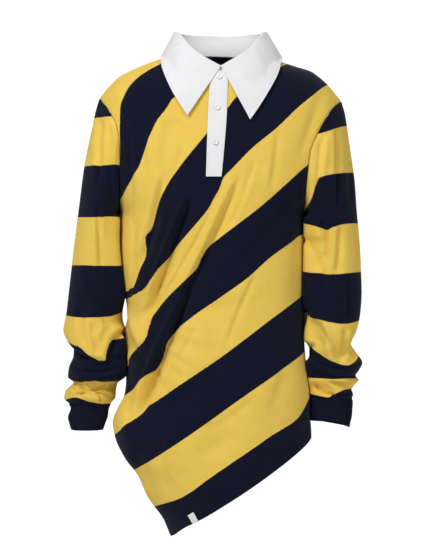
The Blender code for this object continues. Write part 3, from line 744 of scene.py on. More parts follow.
def stitches(name, paths, material, pitch=3.0, length=2.3, radius=0.26, proud=0.2):
    """Tubes of four rings along each path: low, high, high, low, and the ends closed."""
    rise = np.array([proud if high == 1 else high for high in STITCH_RISE])
    turn = 2 * np.pi * np.arange(STITCH_SIDES)[:, None] / STITCH_SIDES
    rings = []
    for points, normal in paths:
        run = running_length(points, 0)
        starts = np.arange(pitch / 2, run[-1] - length, pitch)
        at = starts[:, None] + np.array(STITCH_SHARE) * length
        centre, up = line_at(at, run, points), unit(line_at(at, run, normal))
        side = np.cross(unit(np.gradient(centre, axis=1)), up)
        centre = centre + up * rise[:, None]
        around = side[:, :, None] * np.cos(turn) + up[:, :, None] * np.sin(turn)
        rings.append(centre[:, :, None] + radius * around)
    rings = np.concatenate(rings)
    index = np.arange(rings[..., 0].size).reshape(rings.shape[:3])
    tubes = quads(np.concatenate([index, index[..., :1]], -1))
    piece = add_mesh(name, rings.reshape(-1, 3), tubes, material)
    mend(piece, holes=STITCH_SIDES)
    print(name, len(rings), "stitches,", len(piece.data.polygons), "faces")


def inset(grid, normal, distance):
    """Points and normals at a set distance from the grid's first row, along its columns."""
    run = running_length(grid, 0)
    share = np.clip((distance - run[:-1]) / np.diff(run, axis=0), 0, 1)[..., None]
    return [part[0] + (share * np.diff(part, axis=0)).sum(0) for part in (grid, normal)]


# %% [markdown]
# ## Front and back
# Both panels now come together: outline, body form, folds and stripes. Rows are close together
# at the hem, where the cloth is turned up once and held by two lines of stitches, so that the
# turned edge can swell a little and the stitches can sink in.

# %% Notes of the panels' finish
JERSEY = 1.8
SEAM_FADE = (0.09, 0.12)
WAVE_FADE = (0.05, 0.08)
HEM_TURN = 21
HEM_SWELL = 0.45
HEM_LINES = (15.1, 20.1)
LINE_SINK = 0.5
LINE_WIDE = 1.3
PANEL_GIRTH = 480
ARMHOLE_SINK = 1.3
ARMHOLE_WIDE = 5
GRAIN_ACROSS = -0.82
GRAIN_DOWN = 0.57


# %% The two panels
def panel(side):
    """Grid of the body form at (x, drop), moved along its normals by folds, waves and hem."""
    u = np.linspace(0, 1, PANEL_COLUMNS + 1)
    hem, top = hem_drop(u, side), top_drop(u, side)
    turned = hem - HEM_STEP * np.arange(HEM_ROWS)[:, None]
    low = np.linspace(0, 1, LOWER_ROWS + 1)[:, None]
    lower = hem - HEM_STEP * HEM_ROWS + (UNDERARM - hem + HEM_STEP * HEM_ROWS) * low
    high = (1 - np.cos(np.linspace(0, math.pi, UPPER_ROWS + 1)[1:, None])) / 2
    drop = np.concatenate([turned, lower, UNDERARM + (top - UNDERARM) * high])
    across = np.broadcast_to(u, drop.shape)
    x = panel_x(across, drop)
    grid = np.stack([x, body_y(x, drop, side), -drop], axis=-1)
    normal = normals(grid) * (-side)
    up = np.linspace(1, 0, len(drop))[:, None]
    from_seam = np.minimum(u, 1 - u)
    edge, calm = [ease(from_seam / aside) * ease(up / below)
                  for aside, below in (SEAM_FADE, WAVE_FADE)]
    rise = fold_rise(x, drop, FRONT_FOLDS if side < 0 else BACK_FOLDS) * edge
    rise += (pull_rise(x, drop) + hang_rise(x, drop)) * calm
    from_hem = (hem - drop) * math.cos(math.atan(HEM_RISE_X))
    rise += HEM_SWELL * ease((HEM_TURN - from_hem) / 3)
    rise -= LINE_SINK * sum(bell(from_hem - line, LINE_WIDE) for line in HEM_LINES)
    armhole_line = bell(from_seam * PANEL_GIRTH, ARMHOLE_WIDE)
    rise -= ARMHOLE_SINK * armhole_line * ease((UNDERARM + 10 - drop) / 20)
    grid = grid + normal * rise[..., None]
    number = front_stripe(x, drop) if side < 0 else back_stripe(x, drop)
    girth = running_length(grid, 1)
    girth = girth - girth[:, PANEL_COLUMNS // 2][:, None]
    return grid, GRAIN_ACROSS * girth + GRAIN_DOWN * drop, number * BAND


def seam_normals(grid):
    """Normals turned into the panel's own plane at the seams, so that the walls meet there."""
    normal = normals(grid)
    normal[:HEM_ROWS + LOWER_ROWS + 1, [0, -1], 1] = 0
    from_middle = np.abs(np.arange(PANEL_COLUMNS + 1) - PANEL_COLUMNS / 2)
    normal[-1, from_middle >= PANEL_COLUMNS / 2 - NECK_COLUMN, 1] = 0
    return unit(normal)


panels = {}
for name, side in (("front", -1), ("back", 1)):
    grid, weave, stripe = [part[:, ::-side] for part in panel(side)]
    panels[name] = grid
    piece = cloth(name + "_panel", grid, seam_normals(grid), JERSEY, weave, stripe, JERSEY_CLOTH)
    state_sheet(piece, name, "striped_jersey", grid, 3, flat=(0.50, 0.88), held="hung",
                rests_on=["collar_stand"])

# %% [markdown]
# ## Sleeves
# A sleeve is a tube of rings from the armhole to the cuff. Each ring is a flattened circle with
# its own outer and inner end, depth and sag, because long sleeves pile up above the cuff:
# the cloth rolls over the narrow place and hangs in a loop in front. Between the rings every
# measure is read as a smooth curve, so the tube has no corners.
# A row of the notes gives the ring's outer x and drop, its inner x and drop, its depth, how
# far it lies behind, and its sag.

# %% Notes of the sleeves
RIGHT_RINGS = (
    (-210, 88, -169, 267, 64, 0, 0), (-215, 112, -170, 271, 68, 0, 0),
    (-221, 142, -170, 276, 71, 1, 0), (-227, 175, -170, 283, 73, 2, 0),
    (-233, 212, -169, 292, 74, 3, 0), (-240, 262, -167, 308, 73, 4, 0),
    (-245, 306, -165, 332, 71, 4, 0), (-250, 349, -162, 362, 68, 4, 0),
    (-255, 392, -159, 398, 64, 3, 2), (-259, 430, -165, 434, 60, 2, 6),
    (-264, 458, -160, 460, 59, 0, 14), (-258, 473, -158, 475, 58, -2, 26),
    (-246, 486, -160, 492, 49, -2, 20), (-247, 503, -160, 508, 50, -2, 8),
    (-255, 522, -158, 524, 55, 0, 2), (-257, 538, -160, 538, 54, 0, 0),
    (-247, 548, -172, 550, 44, 0, 0), (-261, 562, -175, 562, 49, 0, 0),
    (-263, 574, -176, 573, 48, 0, 0), (-255, 583, -184, 583, 41, 0, 0),
)
LEFT_RINGS = (
    (214, 92, 145, 267, 64, 0, 0), (218, 115, 146, 271, 68, 0, 0), (222, 144, 146, 276, 71, 1, 0),
    (226, 177, 147, 283, 73, 2, 0), (231, 214, 147, 292, 74, 3, 0), (235, 262, 146, 308, 73, 4, 0),
    (238, 306, 146, 332, 71, 4, 0), (241, 349, 146, 362, 68, 4, 0), (243, 392, 146, 398, 64, 3, 2),
    (240, 430, 146, 434, 60, 2, 6), (233, 460, 147, 460, 59, 0, 12),
    (223, 480, 149, 476, 52, -2, 22), (234, 498, 154, 491, 50, -2, 18),
    (244, 514, 154, 506, 54, -1, 10), (238, 528, 154, 520, 53, 0, 4),
    (233, 536, 156, 532, 47, 0, 2), (238, 544, 156, 542, 49, 0, 0), (225, 558, 160, 556, 42, 0, 0),
    (228, 567, 157, 566, 44, 0, 0), (226, 574, 159, 574, 40, 0, 0),
)
CUFF_RIGHT_RINGS = (
    (-255, 583.5, -184, 583.5, 41, 0, 0), (-252, 592, -187, 592, 38.5, 0, 0),
    (-256, 609, -191, 611, 38, 0, 0), (-251, 628, -197, 628, 36, 0, 0),
)
CUFF_LEFT_RINGS = (
    (226, 574.5, 157, 574.5, 40, 0, 0), (227, 588, 156, 586, 38.5, 0, -3),
    (225, 606, 155, 599, 37.5, 0, -5), (222, 624, 156, 613, 37, 0, -7),
)
SLEEVE_POWER = 2.2
SLEEVE_CLEAR = 1.4
TOUCH = (
    ("drop", "left", "right"),
    (250, 1, 1), (395, 1, 1), (416, 1, 0.1), (444, 1, 0.1), (460, 1, 1), (475, 1, 1), (488, 0.1, 1),
    (502, 0.1, 1), (516, 1, 1), (534, 1, 1), (548, 1, 0), (640, 1, 0),
)
TOUCH_LAP = 2.2
TOUCH_FROM = 0.68
TOUCH_RUN = 0.22
SLEEVE_ROWS = 236
SLEEVE_COLUMNS = 132

# %% Notes of the sleeve's stripe edges and folds
EDGE_SHARES = (0, 0.25, 0.5, 0.58, 0.64, 0.76, 1)
RIGHT_SLEEVE_EDGES = (
    (10, 10, 10, 10, 10, 10, 10), (100, 100, 100, 101, 101, 101, 101),
    (182, 182, 181, 182, 182, 182, 182), (268, 269, 269, 269, 268, 268, 268),
    (349, 349, 350, 350, 350, 350, 348), (433, 432, 431, 431, 431, 431, 428),
    (470, 467, 483, 488, 483, 461, 464), (545, 546, 544, 544, 545, 545, 546),
    (577, 571, 577, 579, 580, 582, 584), (680, 680, 680, 680, 680, 680, 680),
)
LEFT_SLEEVE_EDGES = (
    (10, 10, 10, 10, 10, 10, 10), (113, 129, 137, 138, 138, 138, 139),
    (192, 196, 204, 212, 219, 237, 262), (278, 280, 286, 290, 291, 282, 276),
    (360, 362, 364, 364, 364, 362, 357), (441, 441, 439, 438, 437, 434, 428),
    (502, 504, 493, 488, 484, 478, 476), (539, 539, 540, 540, 540, 539, 538),
    (554, 559, 567, 570, 571, 568, 560), (680, 680, 680, 680, 680, 680, 680),
)
SLEEVE_FOLD_DEPTH = 2.2
SLEEVE_FOLDS = {
    "right": (
        (-201, 96, -202, 150, -202, 216, 6, -2.4, 0.3),
        (-182, 100, -180, 190, -176, 262, 8, -2, -0.3),
        (-203, 250, -201, 300, -198, 362, 6, -2.6, 0.3),
        (-226, 360, -214, 404, -204, 448, 10, 1.6, 0),
        (-152, 458, -174, 474, -185, 514, 8, -4.4, 0.26),
        (-172, 424, -192, 446, -212, 486, 8, 2, 0), (-214, 444, -210, 474, -204, 500, 5, -2, 0.3),
        (-236, 416, -232, 452, -226, 484, 7, -2, 0.3),
        (-252, 516, -212, 530, -166, 520, 6, -2.8, 0.3),
        (-248, 500, -214, 511, -174, 500, 5, 1.8, 0),
        (-244, 550, -214, 557, -178, 549, 4.5, -3.4, 0.25),
        (-242, 571, -212, 563, -176, 577, 4.5, -3.2, 0.25),
        (-232, 545, -206, 560, -196, 580, 3.5, -1.8, 0.3),
        (-218, 548, -196, 557, -170, 554, 7, -3, 0.2),
        (-226, 570, -202, 576, -176, 579, 5, 1.8, 0),
        (-250, 552, -240, 556, -232, 552, 4, -2.4, 0.2),
    ),
    "left": (
        (197, 116, 199, 190, 197, 262, 7, -2.6, 0.3),
        (172, 128, 168, 180, 160, 232, 7, -2.2, -0.3),
        (202, 280, 200, 326, 196, 366, 7, -2.4, 0.3), (214, 370, 216, 404, 214, 440, 7, -2, 0.3),
        (140, 300, 154, 326, 164, 360, 8, -3, 0.25), (166, 276, 177, 303, 176, 350, 5, -3.2, 0.3),
        (150, 262, 160, 282, 166, 310, 7, 2, 0), (138, 418, 156, 452, 176, 492, 12, -5.4, -0.22),
        (158, 438, 182, 474, 208, 516, 7, -3, 0.25), (170, 428, 180, 460, 192, 500, 7, 2.2, 0),
        (212, 452, 212, 484, 206, 512, 6, -2.6, -0.3),
        (158, 506, 190, 522, 230, 520, 6, -2.6, 0.3),
        (156, 547, 172, 562, 194, 566, 4.5, -3.4, 0.25),
        (184, 543, 206, 552, 232, 545, 4.5, -3.2, 0.25),
        (182, 562, 204, 568, 224, 560, 4, -2, -0.3), (226, 120, 222, 190, 226, 260, 8, -1.6, -0.3),
        (172, 300, 170, 350, 176, 396, 9, -2, -0.3),
    ),
}
SLEEVE_BACK_FOLDS = {
    "right": (
        (-214, 130, -196, 240, -190, 350, 10, -3, 0.3),
        (-240, 330, -214, 400, -184, 452, 10, -3, 0.3),
        (-250, 452, -210, 476, -170, 462, 8, -3, 0.4),
        (-246, 510, -206, 522, -168, 508, 6, -2.4, 0.4),
        (-252, 556, -220, 566, -186, 556, 5, -2, 0.4),
    ),
    "left": (
        (212, 130, 190, 240, 180, 350, 10, -3, 0.3), (232, 330, 204, 400, 170, 452, 10, -3, -0.3),
        (236, 452, 196, 474, 158, 462, 8, -3, 0.4), (234, 500, 196, 514, 160, 500, 6, -2.4, 0.4),
        (222, 548, 196, 556, 164, 548, 5, -2, 0.4),
    ),
}


# %% The shape of a sleeve
def ring_at(rings, r, angle):
    """Ring r of a table: middle plus half its span times a squared-off cosine and sine."""
    notes = np.array(rings, float).T
    outer_x, outer_drop, inner_x, inner_drop, depth, behind, sag = [
        curve(r, np.arange(len(rings)), note) for note in notes]
    cosine, sine = [np.sign(wave) * np.abs(wave) ** (2 / SLEEVE_POWER)
                    for wave in (np.cos(angle), np.sin(angle))]
    x = (outer_x + inner_x) / 2 + (outer_x - inner_x) / 2 * cosine
    level = (outer_drop + inner_drop) / 2 + (outer_drop - inner_drop) / 2 * cosine
    drop = level + sag * np.clip(np.sin(angle), 0, 1) ** 1.5
    return np.stack([x, behind - depth * sine, -drop], axis=-1), level, (1 - cosine) / 2


def armhole(wearer_left, angle):
    """Points of the armhole seam: drop falls as a cosine, x and y are the body's own there."""
    top = (ARMHOLE_LEFT if wearer_left else ARMHOLE_RIGHT)[1][0]
    drop = (top + UNDERARM) / 2 - (UNDERARM - top) / 2 * np.cos(angle)
    x = armhole_x(drop, wearer_left)
    y = np.where(np.sin(angle) > 0, body_y(x, drop, -1), body_y(x, drop, 1))
    return np.stack([x, np.where(np.abs(np.sin(angle)) < 1e-6, 0, y), -drop], axis=-1)


def keep_clear(points, share, wearer_left):
    """Sleeve points laid on the side of the body where the notes say so, and never inside it."""
    x, y, drop = points[..., 0], points[..., 1], -points[..., 2]
    middle, half = middle_and_half(drop)
    deep = np.where(y < 0, body_depth(drop, -1), body_depth(drop, 1))
    reach = half * rounded(np.abs(y) / deep, SIDE_POWER) + SLEEVE_CLEAR
    hand = 1 if wearer_left else -1
    side = middle + hand * reach
    pressed = hand * np.maximum(hand * x, hand * side)
    rest = hand * np.maximum(hand * side, hand * middle + half - TOUCH_LAP)
    touch = read(TOUCH, "left" if wearer_left else "right", drop)
    lying = pressed + (rest - pressed) * touch * ease((share - TOUCH_FROM) / TOUCH_RUN)
    return np.stack([x + (lying - x) * ease((drop - UNDERARM + 4) / 12), y, -drop], axis=-1)


def turned_round(*grids):
    """Columns in the other order but for the first, so that a left tube faces outwards too."""
    order = np.roll(np.arange(grids[0].shape[1])[::-1], 1)
    return [grid[:, order] for grid in grids]


# %% A sleeve with its folds and stripes
ARMHOLE_RINGS = 7
COLUMN_WIDE = 2.9
NEAR_BODY = -0.35
WALL_LEAN = 0.35


def sleeve(rings, edges, folds, back_folds, wearer_left):
    """Rings from cuff to armhole; the armhole's own bow fades out over the first seven."""
    angle = 2 * np.pi * np.arange(SLEEVE_COLUMNS) / SLEEVE_COLUMNS
    seam = armhole(wearer_left, angle)
    under = armhole(wearer_left, np.array([math.pi]))[0]
    table = ((seam[0, 0], -seam[0, 2], under[0], -under[2], 60, 0, 0),) + rings
    r = np.linspace(len(rings), 0, SLEEVE_ROWS + 1)[:, None]
    turn = np.broadcast_to(angle, (SLEEVE_ROWS + 1, SLEEVE_COLUMNS))
    grid, level, share = ring_at(table, np.broadcast_to(r, turn.shape), turn)
    bow = (seam - grid[-1]) * (1 - ease(r / ARMHOLE_RINGS))[..., None]
    grid, level = grid + bow, level - bow[..., 2]
    grid = grid + (keep_clear(grid, share, wearer_left) - grid) * np.clip(r, 0, 1)[..., None]
    if wearer_left:
        grid, level, share, turn = turned_round(grid, level, share, turn)
    normal = normals(grid, around=True)
    x, drop = grid[..., 0], -grid[..., 2]
    rise = fold_rise(x, drop, folds) * ease(np.sin(turn) * 2.2)
    rise = SLEEVE_FOLD_DEPTH * (rise + fold_rise(x, drop, back_folds) * ease(-np.sin(turn) * 2.2))
    rise += 0.5 * np.sin(x / 9 + drop / 60 + 1) * np.sin(drop / 37)
    rise += 0.4 * np.sin(2 * turn + drop / 23)
    away_from_body = np.sign(x) * normal[..., 0]
    rise = np.where(away_from_body < NEAR_BODY, np.minimum(rise, 0), rise)
    calm = ease(r / 1.2) * ease((len(rings) - r) / 0.8)
    grid = grid + normal * (rise * calm)[..., None]
    lines = [curve(share, np.array(EDGE_SHARES, float), np.array(edge, float))
             for edge in edges]
    number = sum(np.clip((level - above) / (below - above), 0, 1)
                 for above, below in zip(lines, lines[1:]))
    across = np.broadcast_to(np.arange(SLEEVE_COLUMNS) * COLUMN_WIDE, turn.shape)
    return grid, across, number * BAND


for name, rings, edges, hand in (("left", LEFT_RINGS, LEFT_SLEEVE_EDGES, 1),
                                 ("right", RIGHT_RINGS, RIGHT_SLEEVE_EDGES, -1)):
    folds = SLEEVE_FOLDS[name], SLEEVE_BACK_FOLDS[name]
    grid, across, stripe = sleeve(rings, edges, *folds, hand > 0)
    normal = normals(grid, around=True)
    # At the armhole the wall goes in less steeply, so that it doesn't reach into the body.
    normal[-1, :, 0] = hand * np.minimum(hand * normal[-1, :, 0], WALL_LEAN)
    normal[-1] = unit(normal[-1])
    piece = cloth("sleeve_%s_cloth" % name, grid, normal, JERSEY, across, stripe, JERSEY_CLOTH,
                  around=True)
    state_sheet(piece, "sleeve_" + name, "striped_jersey", closed(grid), 3, flat=(0.42, 0.62),
                held="hung", rests_on=["front", "back"])

# %% [markdown]
# ## Rib cuffs
# A rib cuff is knitted in upright ridges so that it grips the wrist. The ridges are real shape
# here, because they show at the edge of the cuff: a cosine round the ring sinks the cloth
# between them by three quarters of a millimetre.

# %% The cuffs
RIB = 2.2
RIBS = 92
RIB_STEPS = 6
RIB_RISE = 0.38
CUFF_ROWS = 24
CUFF_LONG = 45
RIB_STEP_WIDE = 0.43


def cuff(rings, wearer_left):
    """A smooth tube through the rings, with a cosine of many turns added along its normals."""
    angle = 2 * np.pi * np.arange(RIBS * RIB_STEPS) / (RIBS * RIB_STEPS)
    r = np.linspace(len(rings) - 1, 0, CUFF_ROWS + 1)[:, None]
    turn = np.broadcast_to(angle, (CUFF_ROWS + 1, len(angle)))
    grid, _, share = ring_at(rings, np.broadcast_to(r, turn.shape), turn)
    grid = keep_clear(grid, share, wearer_left)
    if wearer_left:
        grid, turn = turned_round(grid, turn)
    normal = normals(grid, around=True)
    drop = -grid[..., 2]
    wave = 0.8 * np.sin(3 * turn + drop / 9) * np.sin(drop / 7 + turn)
    ends = ease(np.minimum(r, len(rings) - 1 - r) / 0.35)
    rise = RIB_RISE * (np.cos(RIBS * turn) - 1) + wave * ends
    length = np.broadcast_to(np.linspace(0, CUFF_LONG, CUFF_ROWS + 1)[:, None], turn.shape)
    across = np.broadcast_to(np.arange(len(angle)) * RIB_STEP_WIDE, turn.shape)
    return grid + normal * rise[..., None], normal, across, length


for name, rings, hand in (("left", CUFF_LEFT_RINGS, 1), ("right", CUFF_RIGHT_RINGS, -1)):
    grid, normal, across, along = cuff(rings, hand > 0)
    piece = cloth("cuff_%s_rib" % name, grid, normal, RIB, across, along, RIB_KNIT, around=True)
    state_sheet(piece, "cuff_" + name, "navy_rib", closed(grid), 4, flat=(0.25, 0.062),
                held="stretched", rests_on=["sleeve_" + name])

# %% [markdown]
# ## Collar
# The collar is a stand that rises from the neckline and a leaf that folds over it at the roll
# line. The roll line is an ellipse seen from above, high at the nape and low in front. The leaf
# is a sheet stretched from that line to its pointed outer edge, with a soft swell in the middle
# and kept clear of the shoulders that it lies on.

# %% Notes of the collar
WOVEN = 1.6
COLLAR_MIDDLE = 3
LEAF_MIDDLE = 1.5
ROLL_HALF_GAP = 0.7
ROLL_WIDE = 76
ROLL_LONG = 76
ROLL_BEHIND = -8
ROLL = (
    ("turn", "drop"), (0, 19), (0.13, 1), (0.24, -17), (0.31, -31), (0.39, -42), (0.5, -45),
    (1, -44),
)
COLLAR_STEPS = 120
STAND_ROWS = 18
STAND_LIFT = 0.9
STAND_INSET = 0.3
STAND_SPLIT = 0.4
STAND_STEP_WIDE = 1.7
STAND_HIGH = 36
ROLL_ROWS = 6
LEAF_ROWS = 64
LEAF_GAP = 1.6
LEAF_LIFT = 0.7
LEAF_STITCH_IN = 6
LEAF_SMOOTHING = 8
CHEST_CLEAR = 5.4
SHOULDER_CLEAR = 4.5
LEAF_SWELL = (
    ("turn", "swell"), (0, 0), (0.12, 5), (0.22, 5), (0.34, 1.2), (0.55, 0.6), (0.75, 4), (1, 5),
)
LEFT_LEAF_EDGE = (
    ("turn", "out", "drop", "y"),
    (0, 50, 108, -100), (0.1, 66, 85, -95), (0.2, 81, 60, -84), (0.3, 95, 34, -62),
    (0.38, 104, 12, -40), (0.46, 106, -4, -6), (0.56, 98, -7, 38), (0.7, 76, -4, 76),
    (0.85, 42, 0, 96), (1, 0, 2, 101),
)
RIGHT_LEAF_EDGE = (
    ("turn", "out", "drop", "y"),
    (0, 54, 101, -100), (0.1, 67, 81, -95), (0.2, 81, 57, -84), (0.3, 93, 30, -62),
    (0.38, 100, 9, -40), (0.46, 101, -5, -6), (0.56, 96, -7, 38), (0.7, 76, -4, 76),
    (0.85, 42, 0, 96), (1, 0, 2, 101),
)
LEAF_CREASES = (
    (-86, -14, -72, -22, -60, -27, 4, -1.3, 0.4), (-41, 5, -36, 1, -30, -3, 3, -0.9, 0.4),
    (-70, 20, -58, 40, -50, 66, 9, 0.8, 0), (62, -20, 74, 0, 80, 24, 8, -0.8, 0.3),
    (30, 24, 44, 40, 52, 66, 9, 0.8, 0), (48, -12, 60, -18, 70, -20, 4, -0.6, 0.3),
)


# %% Collar lines
def roll_line(turn, hand):
    """An ellipse in plan; its drop is read from the notes."""
    x = COLLAR_MIDDLE + hand * (ROLL_HALF_GAP * (1 - turn) + ROLL_WIDE * np.sin(math.pi * turn))
    y = ROLL_BEHIND - ROLL_LONG * np.cos(math.pi * turn)
    return np.stack([x, y, -read(ROLL, "drop", turn)], axis=-1)


def leaf_edge(turn, hand):
    """The outer edge of the leaf, read from its notes."""
    notes = LEFT_LEAF_EDGE if hand > 0 else RIGHT_LEAF_EDGE
    x = LEAF_MIDDLE + hand * read(notes, "out", turn)
    return np.stack([x, read(notes, "y", turn), -read(notes, "drop", turn)], axis=-1)


def neckline(turn, hand):
    """The panels' own neckline, shared out evenly from the front middle to the nape."""
    neck = slice(NECK_COLUMN, PANEL_COLUMNS - NECK_COLUMN + 1)
    half = PANEL_COLUMNS // 2 - NECK_COLUMN
    ahead, rear = panels["front"][-1, neck], panels["back"][-1, neck][::-1]
    if hand < 0:
        loop = np.concatenate([ahead[:half + 1][::-1], rear[:half + 1]])
    else:
        loop = np.concatenate([ahead[half:], rear[half:][::-1]])
    return line_at(turn * (len(loop) - 1), np.arange(len(loop)), loop)


def both_hands(line):
    """One line from the wearer's left front end round the nape to the right front end."""
    turn = np.linspace(0, 1, COLLAR_STEPS + 1)
    return np.concatenate([line(turn, 1), line(turn[:-1], -1)[::-1]])


def from_middle(points):
    """Level directions of length one from the collar's middle to the points."""
    away = points - np.array([COLLAR_MIDDLE, 0, 0])
    away[:, 2] = 0
    return unit(away)


def above_body(points):
    """Collar points lifted off the chest and the shoulders by a set clearance."""
    x, y, drop = points[..., 0].copy(), points[..., 1].copy(), -points[..., 2]
    for side in (-1, 1):
        facing = y * side > 0
        under = drop - shoulder_drop(x)
        outside = (body_y(x, drop, side) + side * CHEST_CLEAR) * side
        y = np.where(facing & (under > 22) & (y * side < outside), outside * side, y)
        middle, half = middle_and_half(drop)
        across = rounded(np.abs(x - middle) / half, SIDE_POWER)
        share = np.clip((np.abs(y) - SHOULDER_CLEAR) / (body_depth(drop, side) * across), 0, 1)
        fall = SHOULDER_ROUND * (1 - rounded(share, TOP_POWER))
        lowest = shoulder_drop(x) + fall - SHOULDER_CLEAR
        near = facing & (np.abs(x - COLLAR_MIDDLE) > 70) & (share < 1)
        drop = np.where(near & (under <= 30) & (drop > lowest), lowest, drop)
    return np.stack([x, y, -drop], axis=-1)


# %% The stand
def collar_stand():
    """Neckline to roll line; its foot leans in as the square of the height, its top straight."""
    base = both_hands(neckline)
    base = base - from_middle(base) * STAND_INSET + np.array([0, 0, STAND_LIFT])
    base[[0, -1], 0] += np.array([STAND_SPLIT, -STAND_SPLIT])
    t = np.linspace(0, 1, STAND_ROWS + 1)[:, None, None]
    return base + (both_hands(roll_line) - base) * np.concatenate([t ** 2, t ** 2, t], axis=2)


stand = collar_stand()
run = np.broadcast_to(np.arange(stand.shape[1]) * STAND_STEP_WIDE, stand.shape[:2])
height = np.broadcast_to(np.linspace(0, STAND_HIGH, STAND_ROWS + 1)[:, None], stand.shape[:2])
stand_piece = cloth("collar_stand_cotton", stand, normals(stand), WOVEN, run, height, WHITE_COTTON)
state_sheet(stand_piece, "collar_stand", "white_cotton", stand, 4, flat=(0.46, 0.055),
            held="stretched", rests_on=["front", "back"])


# %% The leaf
def collar_leaf():
    """A rounded roll, then straight lines from it to the edge, swollen by a sine outwards."""
    roll, outer = both_hands(roll_line), both_hands(leaf_edge)
    turn = both_hands(lambda share, hand: share)
    away, along = from_middle(roll), unit(np.gradient(roll, axis=0))
    up = unit(np.array([0, 0, 1]) - along * along[:, 2:])
    first = roll + up * (WOVEN + LEAF_LIFT)
    start = roll + away * (WOVEN + LEAF_GAP) + up * 0.3
    crown = roll + away * (WOVEN + LEAF_GAP) * 0.9 + up * (WOVEN + LEAF_LIFT + 0.3)
    bend = np.linspace(0, 1, ROLL_ROWS + 1)[:-1, None, None]
    over = (1 - bend) ** 2 * first + 2 * bend * (1 - bend) * crown + bend ** 2 * start
    t = np.linspace(0, 1, LEAF_ROWS + 1)[:, None, None]
    swell = np.sin(math.pi * t) * read(LEAF_SWELL, "swell", turn)[None, :, None]
    sheet = above_body(start + (outer - start) * t + away * swell)
    return np.concatenate([over, sheet])[::-1]


leaf = smoothed(collar_leaf(), LEAF_SMOOTHING)
leaf_normal = normals(leaf)
from_edge, across_leaf = running_length(leaf, 0), running_length(leaf, 1)
from_end = np.minimum(across_leaf, across_leaf[:, -1:] - across_leaf)
border = np.minimum(from_edge, from_end)
rise = 0.15 * bell(border - 2.5, 2) - 0.35 * bell(border - LEAF_STITCH_IN, 1.4)
rise += fold_rise(leaf[..., 0], -leaf[..., 2], LEAF_CREASES) * (leaf[..., 1] < 0)
rise += 0.35 * np.sin(leaf[..., 0] / 11 + leaf[..., 2] / 17) * ease(border / 20)
leaf = leaf + leaf_normal * rise[..., None]
leaf_piece = cloth("collar_leaf_cotton", leaf, normals(leaf), WOVEN, across_leaf, from_edge,
                   WHITE_COTTON)
state_sheet(leaf_piece, "collar_leaf", "white_cotton", leaf, 4, flat=(0.62, 0.11), held="folded",
            rests_on=["collar_stand"])

# %% Stitches round the leaf
points, up = inset(leaf, normals(leaf), LEAF_STITCH_IN)
inside = from_end[0] > LEAF_STITCH_IN
leaf_lines = [(points[inside], up[inside])]
end_rows = from_edge[:, 0] > LEAF_STITCH_IN
for order in (1, -1):
    sideways = [np.swapaxes(part[:, ::order], 0, 1) for part in (leaf, leaf_normal)]
    leaf_lines.append([line[end_rows][:-8] for line in inset(*sideways, LEAF_STITCH_IN)])
stitches("collar_stitches", leaf_lines, WHITE_THREAD)

# %% [markdown]
# ## Front strip and buttons
# The strip covers the opening in front. It lies on the panel, so it takes the panel's own
# surface at its places and moves it out by its thickness; near its edges it is rounded
# down. The buttons are turned discs with a raised rim, a dished middle and four holes.

# %% Notes of the strip and the buttons
PLACKET = (
    ("drop", "left", "right"), (27, -14, 15), (95, -18, 13), (150, -20, 9), (203, -21.5, 4),
)
PLACKET_TOP, PLACKET_FOOT = PLACKET[1][0], PLACKET[-1][0]
PLACKET_LIFT = 0.85
PLACKET_ROWS = 115
PLACKET_COLUMNS = 32
STRIP_STITCH_IN = 3
STITCH_DOWN = 0.25
BUTTONS = ((0.5, 37), (-3, 88), (-6, 146))
BUTTON_PROFILE = (
    (0, 1.5), (0.25, 1.5), (0.5, 1.5), (0.75, 1.5), (1.0, 1.5), (1.25, 1.5), (1.5, 1.5),
    (1.75, 1.5), (2.0, 1.5), (2.3, 1.52), (2.6, 1.58), (2.9, 1.72), (3.2, 1.95), (3.6, 2.15),
    (4.0, 2.2), (4.4, 2.1), (4.65, 1.85), (4.8, 1.5), (4.8, 0.6), (4.6, 0.05), (0, 0),
)
BUTTON_STEPS = 64
BUTTON_LIFT = 0.35
HOLE_AWAY = 1.25
HOLE_RADIUS = 0.55
HOLE_DEEP = 1.2
HOLES_WITHIN = 2.4


# %% Points on the front
def on_front(x, drop, lift):
    """Body form at (x, drop), moved along its normal by the folds there and by the lift."""
    x, drop = np.broadcast_arrays(np.asarray(x, float), np.asarray(drop, float))
    step = 0.5
    slope_x = (body_y(x + step, drop, -1) - body_y(x - step, drop, -1)) / (2 * step)
    slope_d = (body_y(x, drop + step, -1) - body_y(x, drop - step, -1)) / (2 * step)
    normal = unit(np.stack([slope_x, -np.ones_like(x), -slope_d], axis=-1))
    rise = fold_rise(np.atleast_1d(x), np.atleast_1d(drop), FRONT_FOLDS).reshape(x.shape)
    rise = rise + pull_rise(x, drop) + hang_rise(x, drop)
    point = np.stack([x, body_y(x, drop, -1), -drop], axis=-1)
    return point + normal * (rise + lift)[..., None], normal


# %% The strip
def placket():
    """A ruled strip between its two edges, with rounded borders and sunken stitch lines."""
    level = np.linspace(PLACKET_FOOT, PLACKET_TOP, PLACKET_ROWS + 1)[:, None]
    share = (1 - np.cos(np.linspace(0, math.pi, PLACKET_COLUMNS + 1)))[None, :] / 2
    left, right = read(PLACKET, "left", level), read(PLACKET, "right", level)
    x, drop = np.broadcast_arrays(left + (right - left) * share, level)
    side, foot = np.minimum(x - left, right - x), PLACKET_FOOT - drop
    lift = PLACKET_LIFT + WOVEN - 0.45 * bell(np.minimum(side, foot), 0.7)
    lift -= 0.3 * (bell(side - STRIP_STITCH_IN, 0.7) + bell(foot - 12, 0.8) + bell(foot - 2.5, 0.7))
    return on_front(x, drop, lift)[0], x, drop


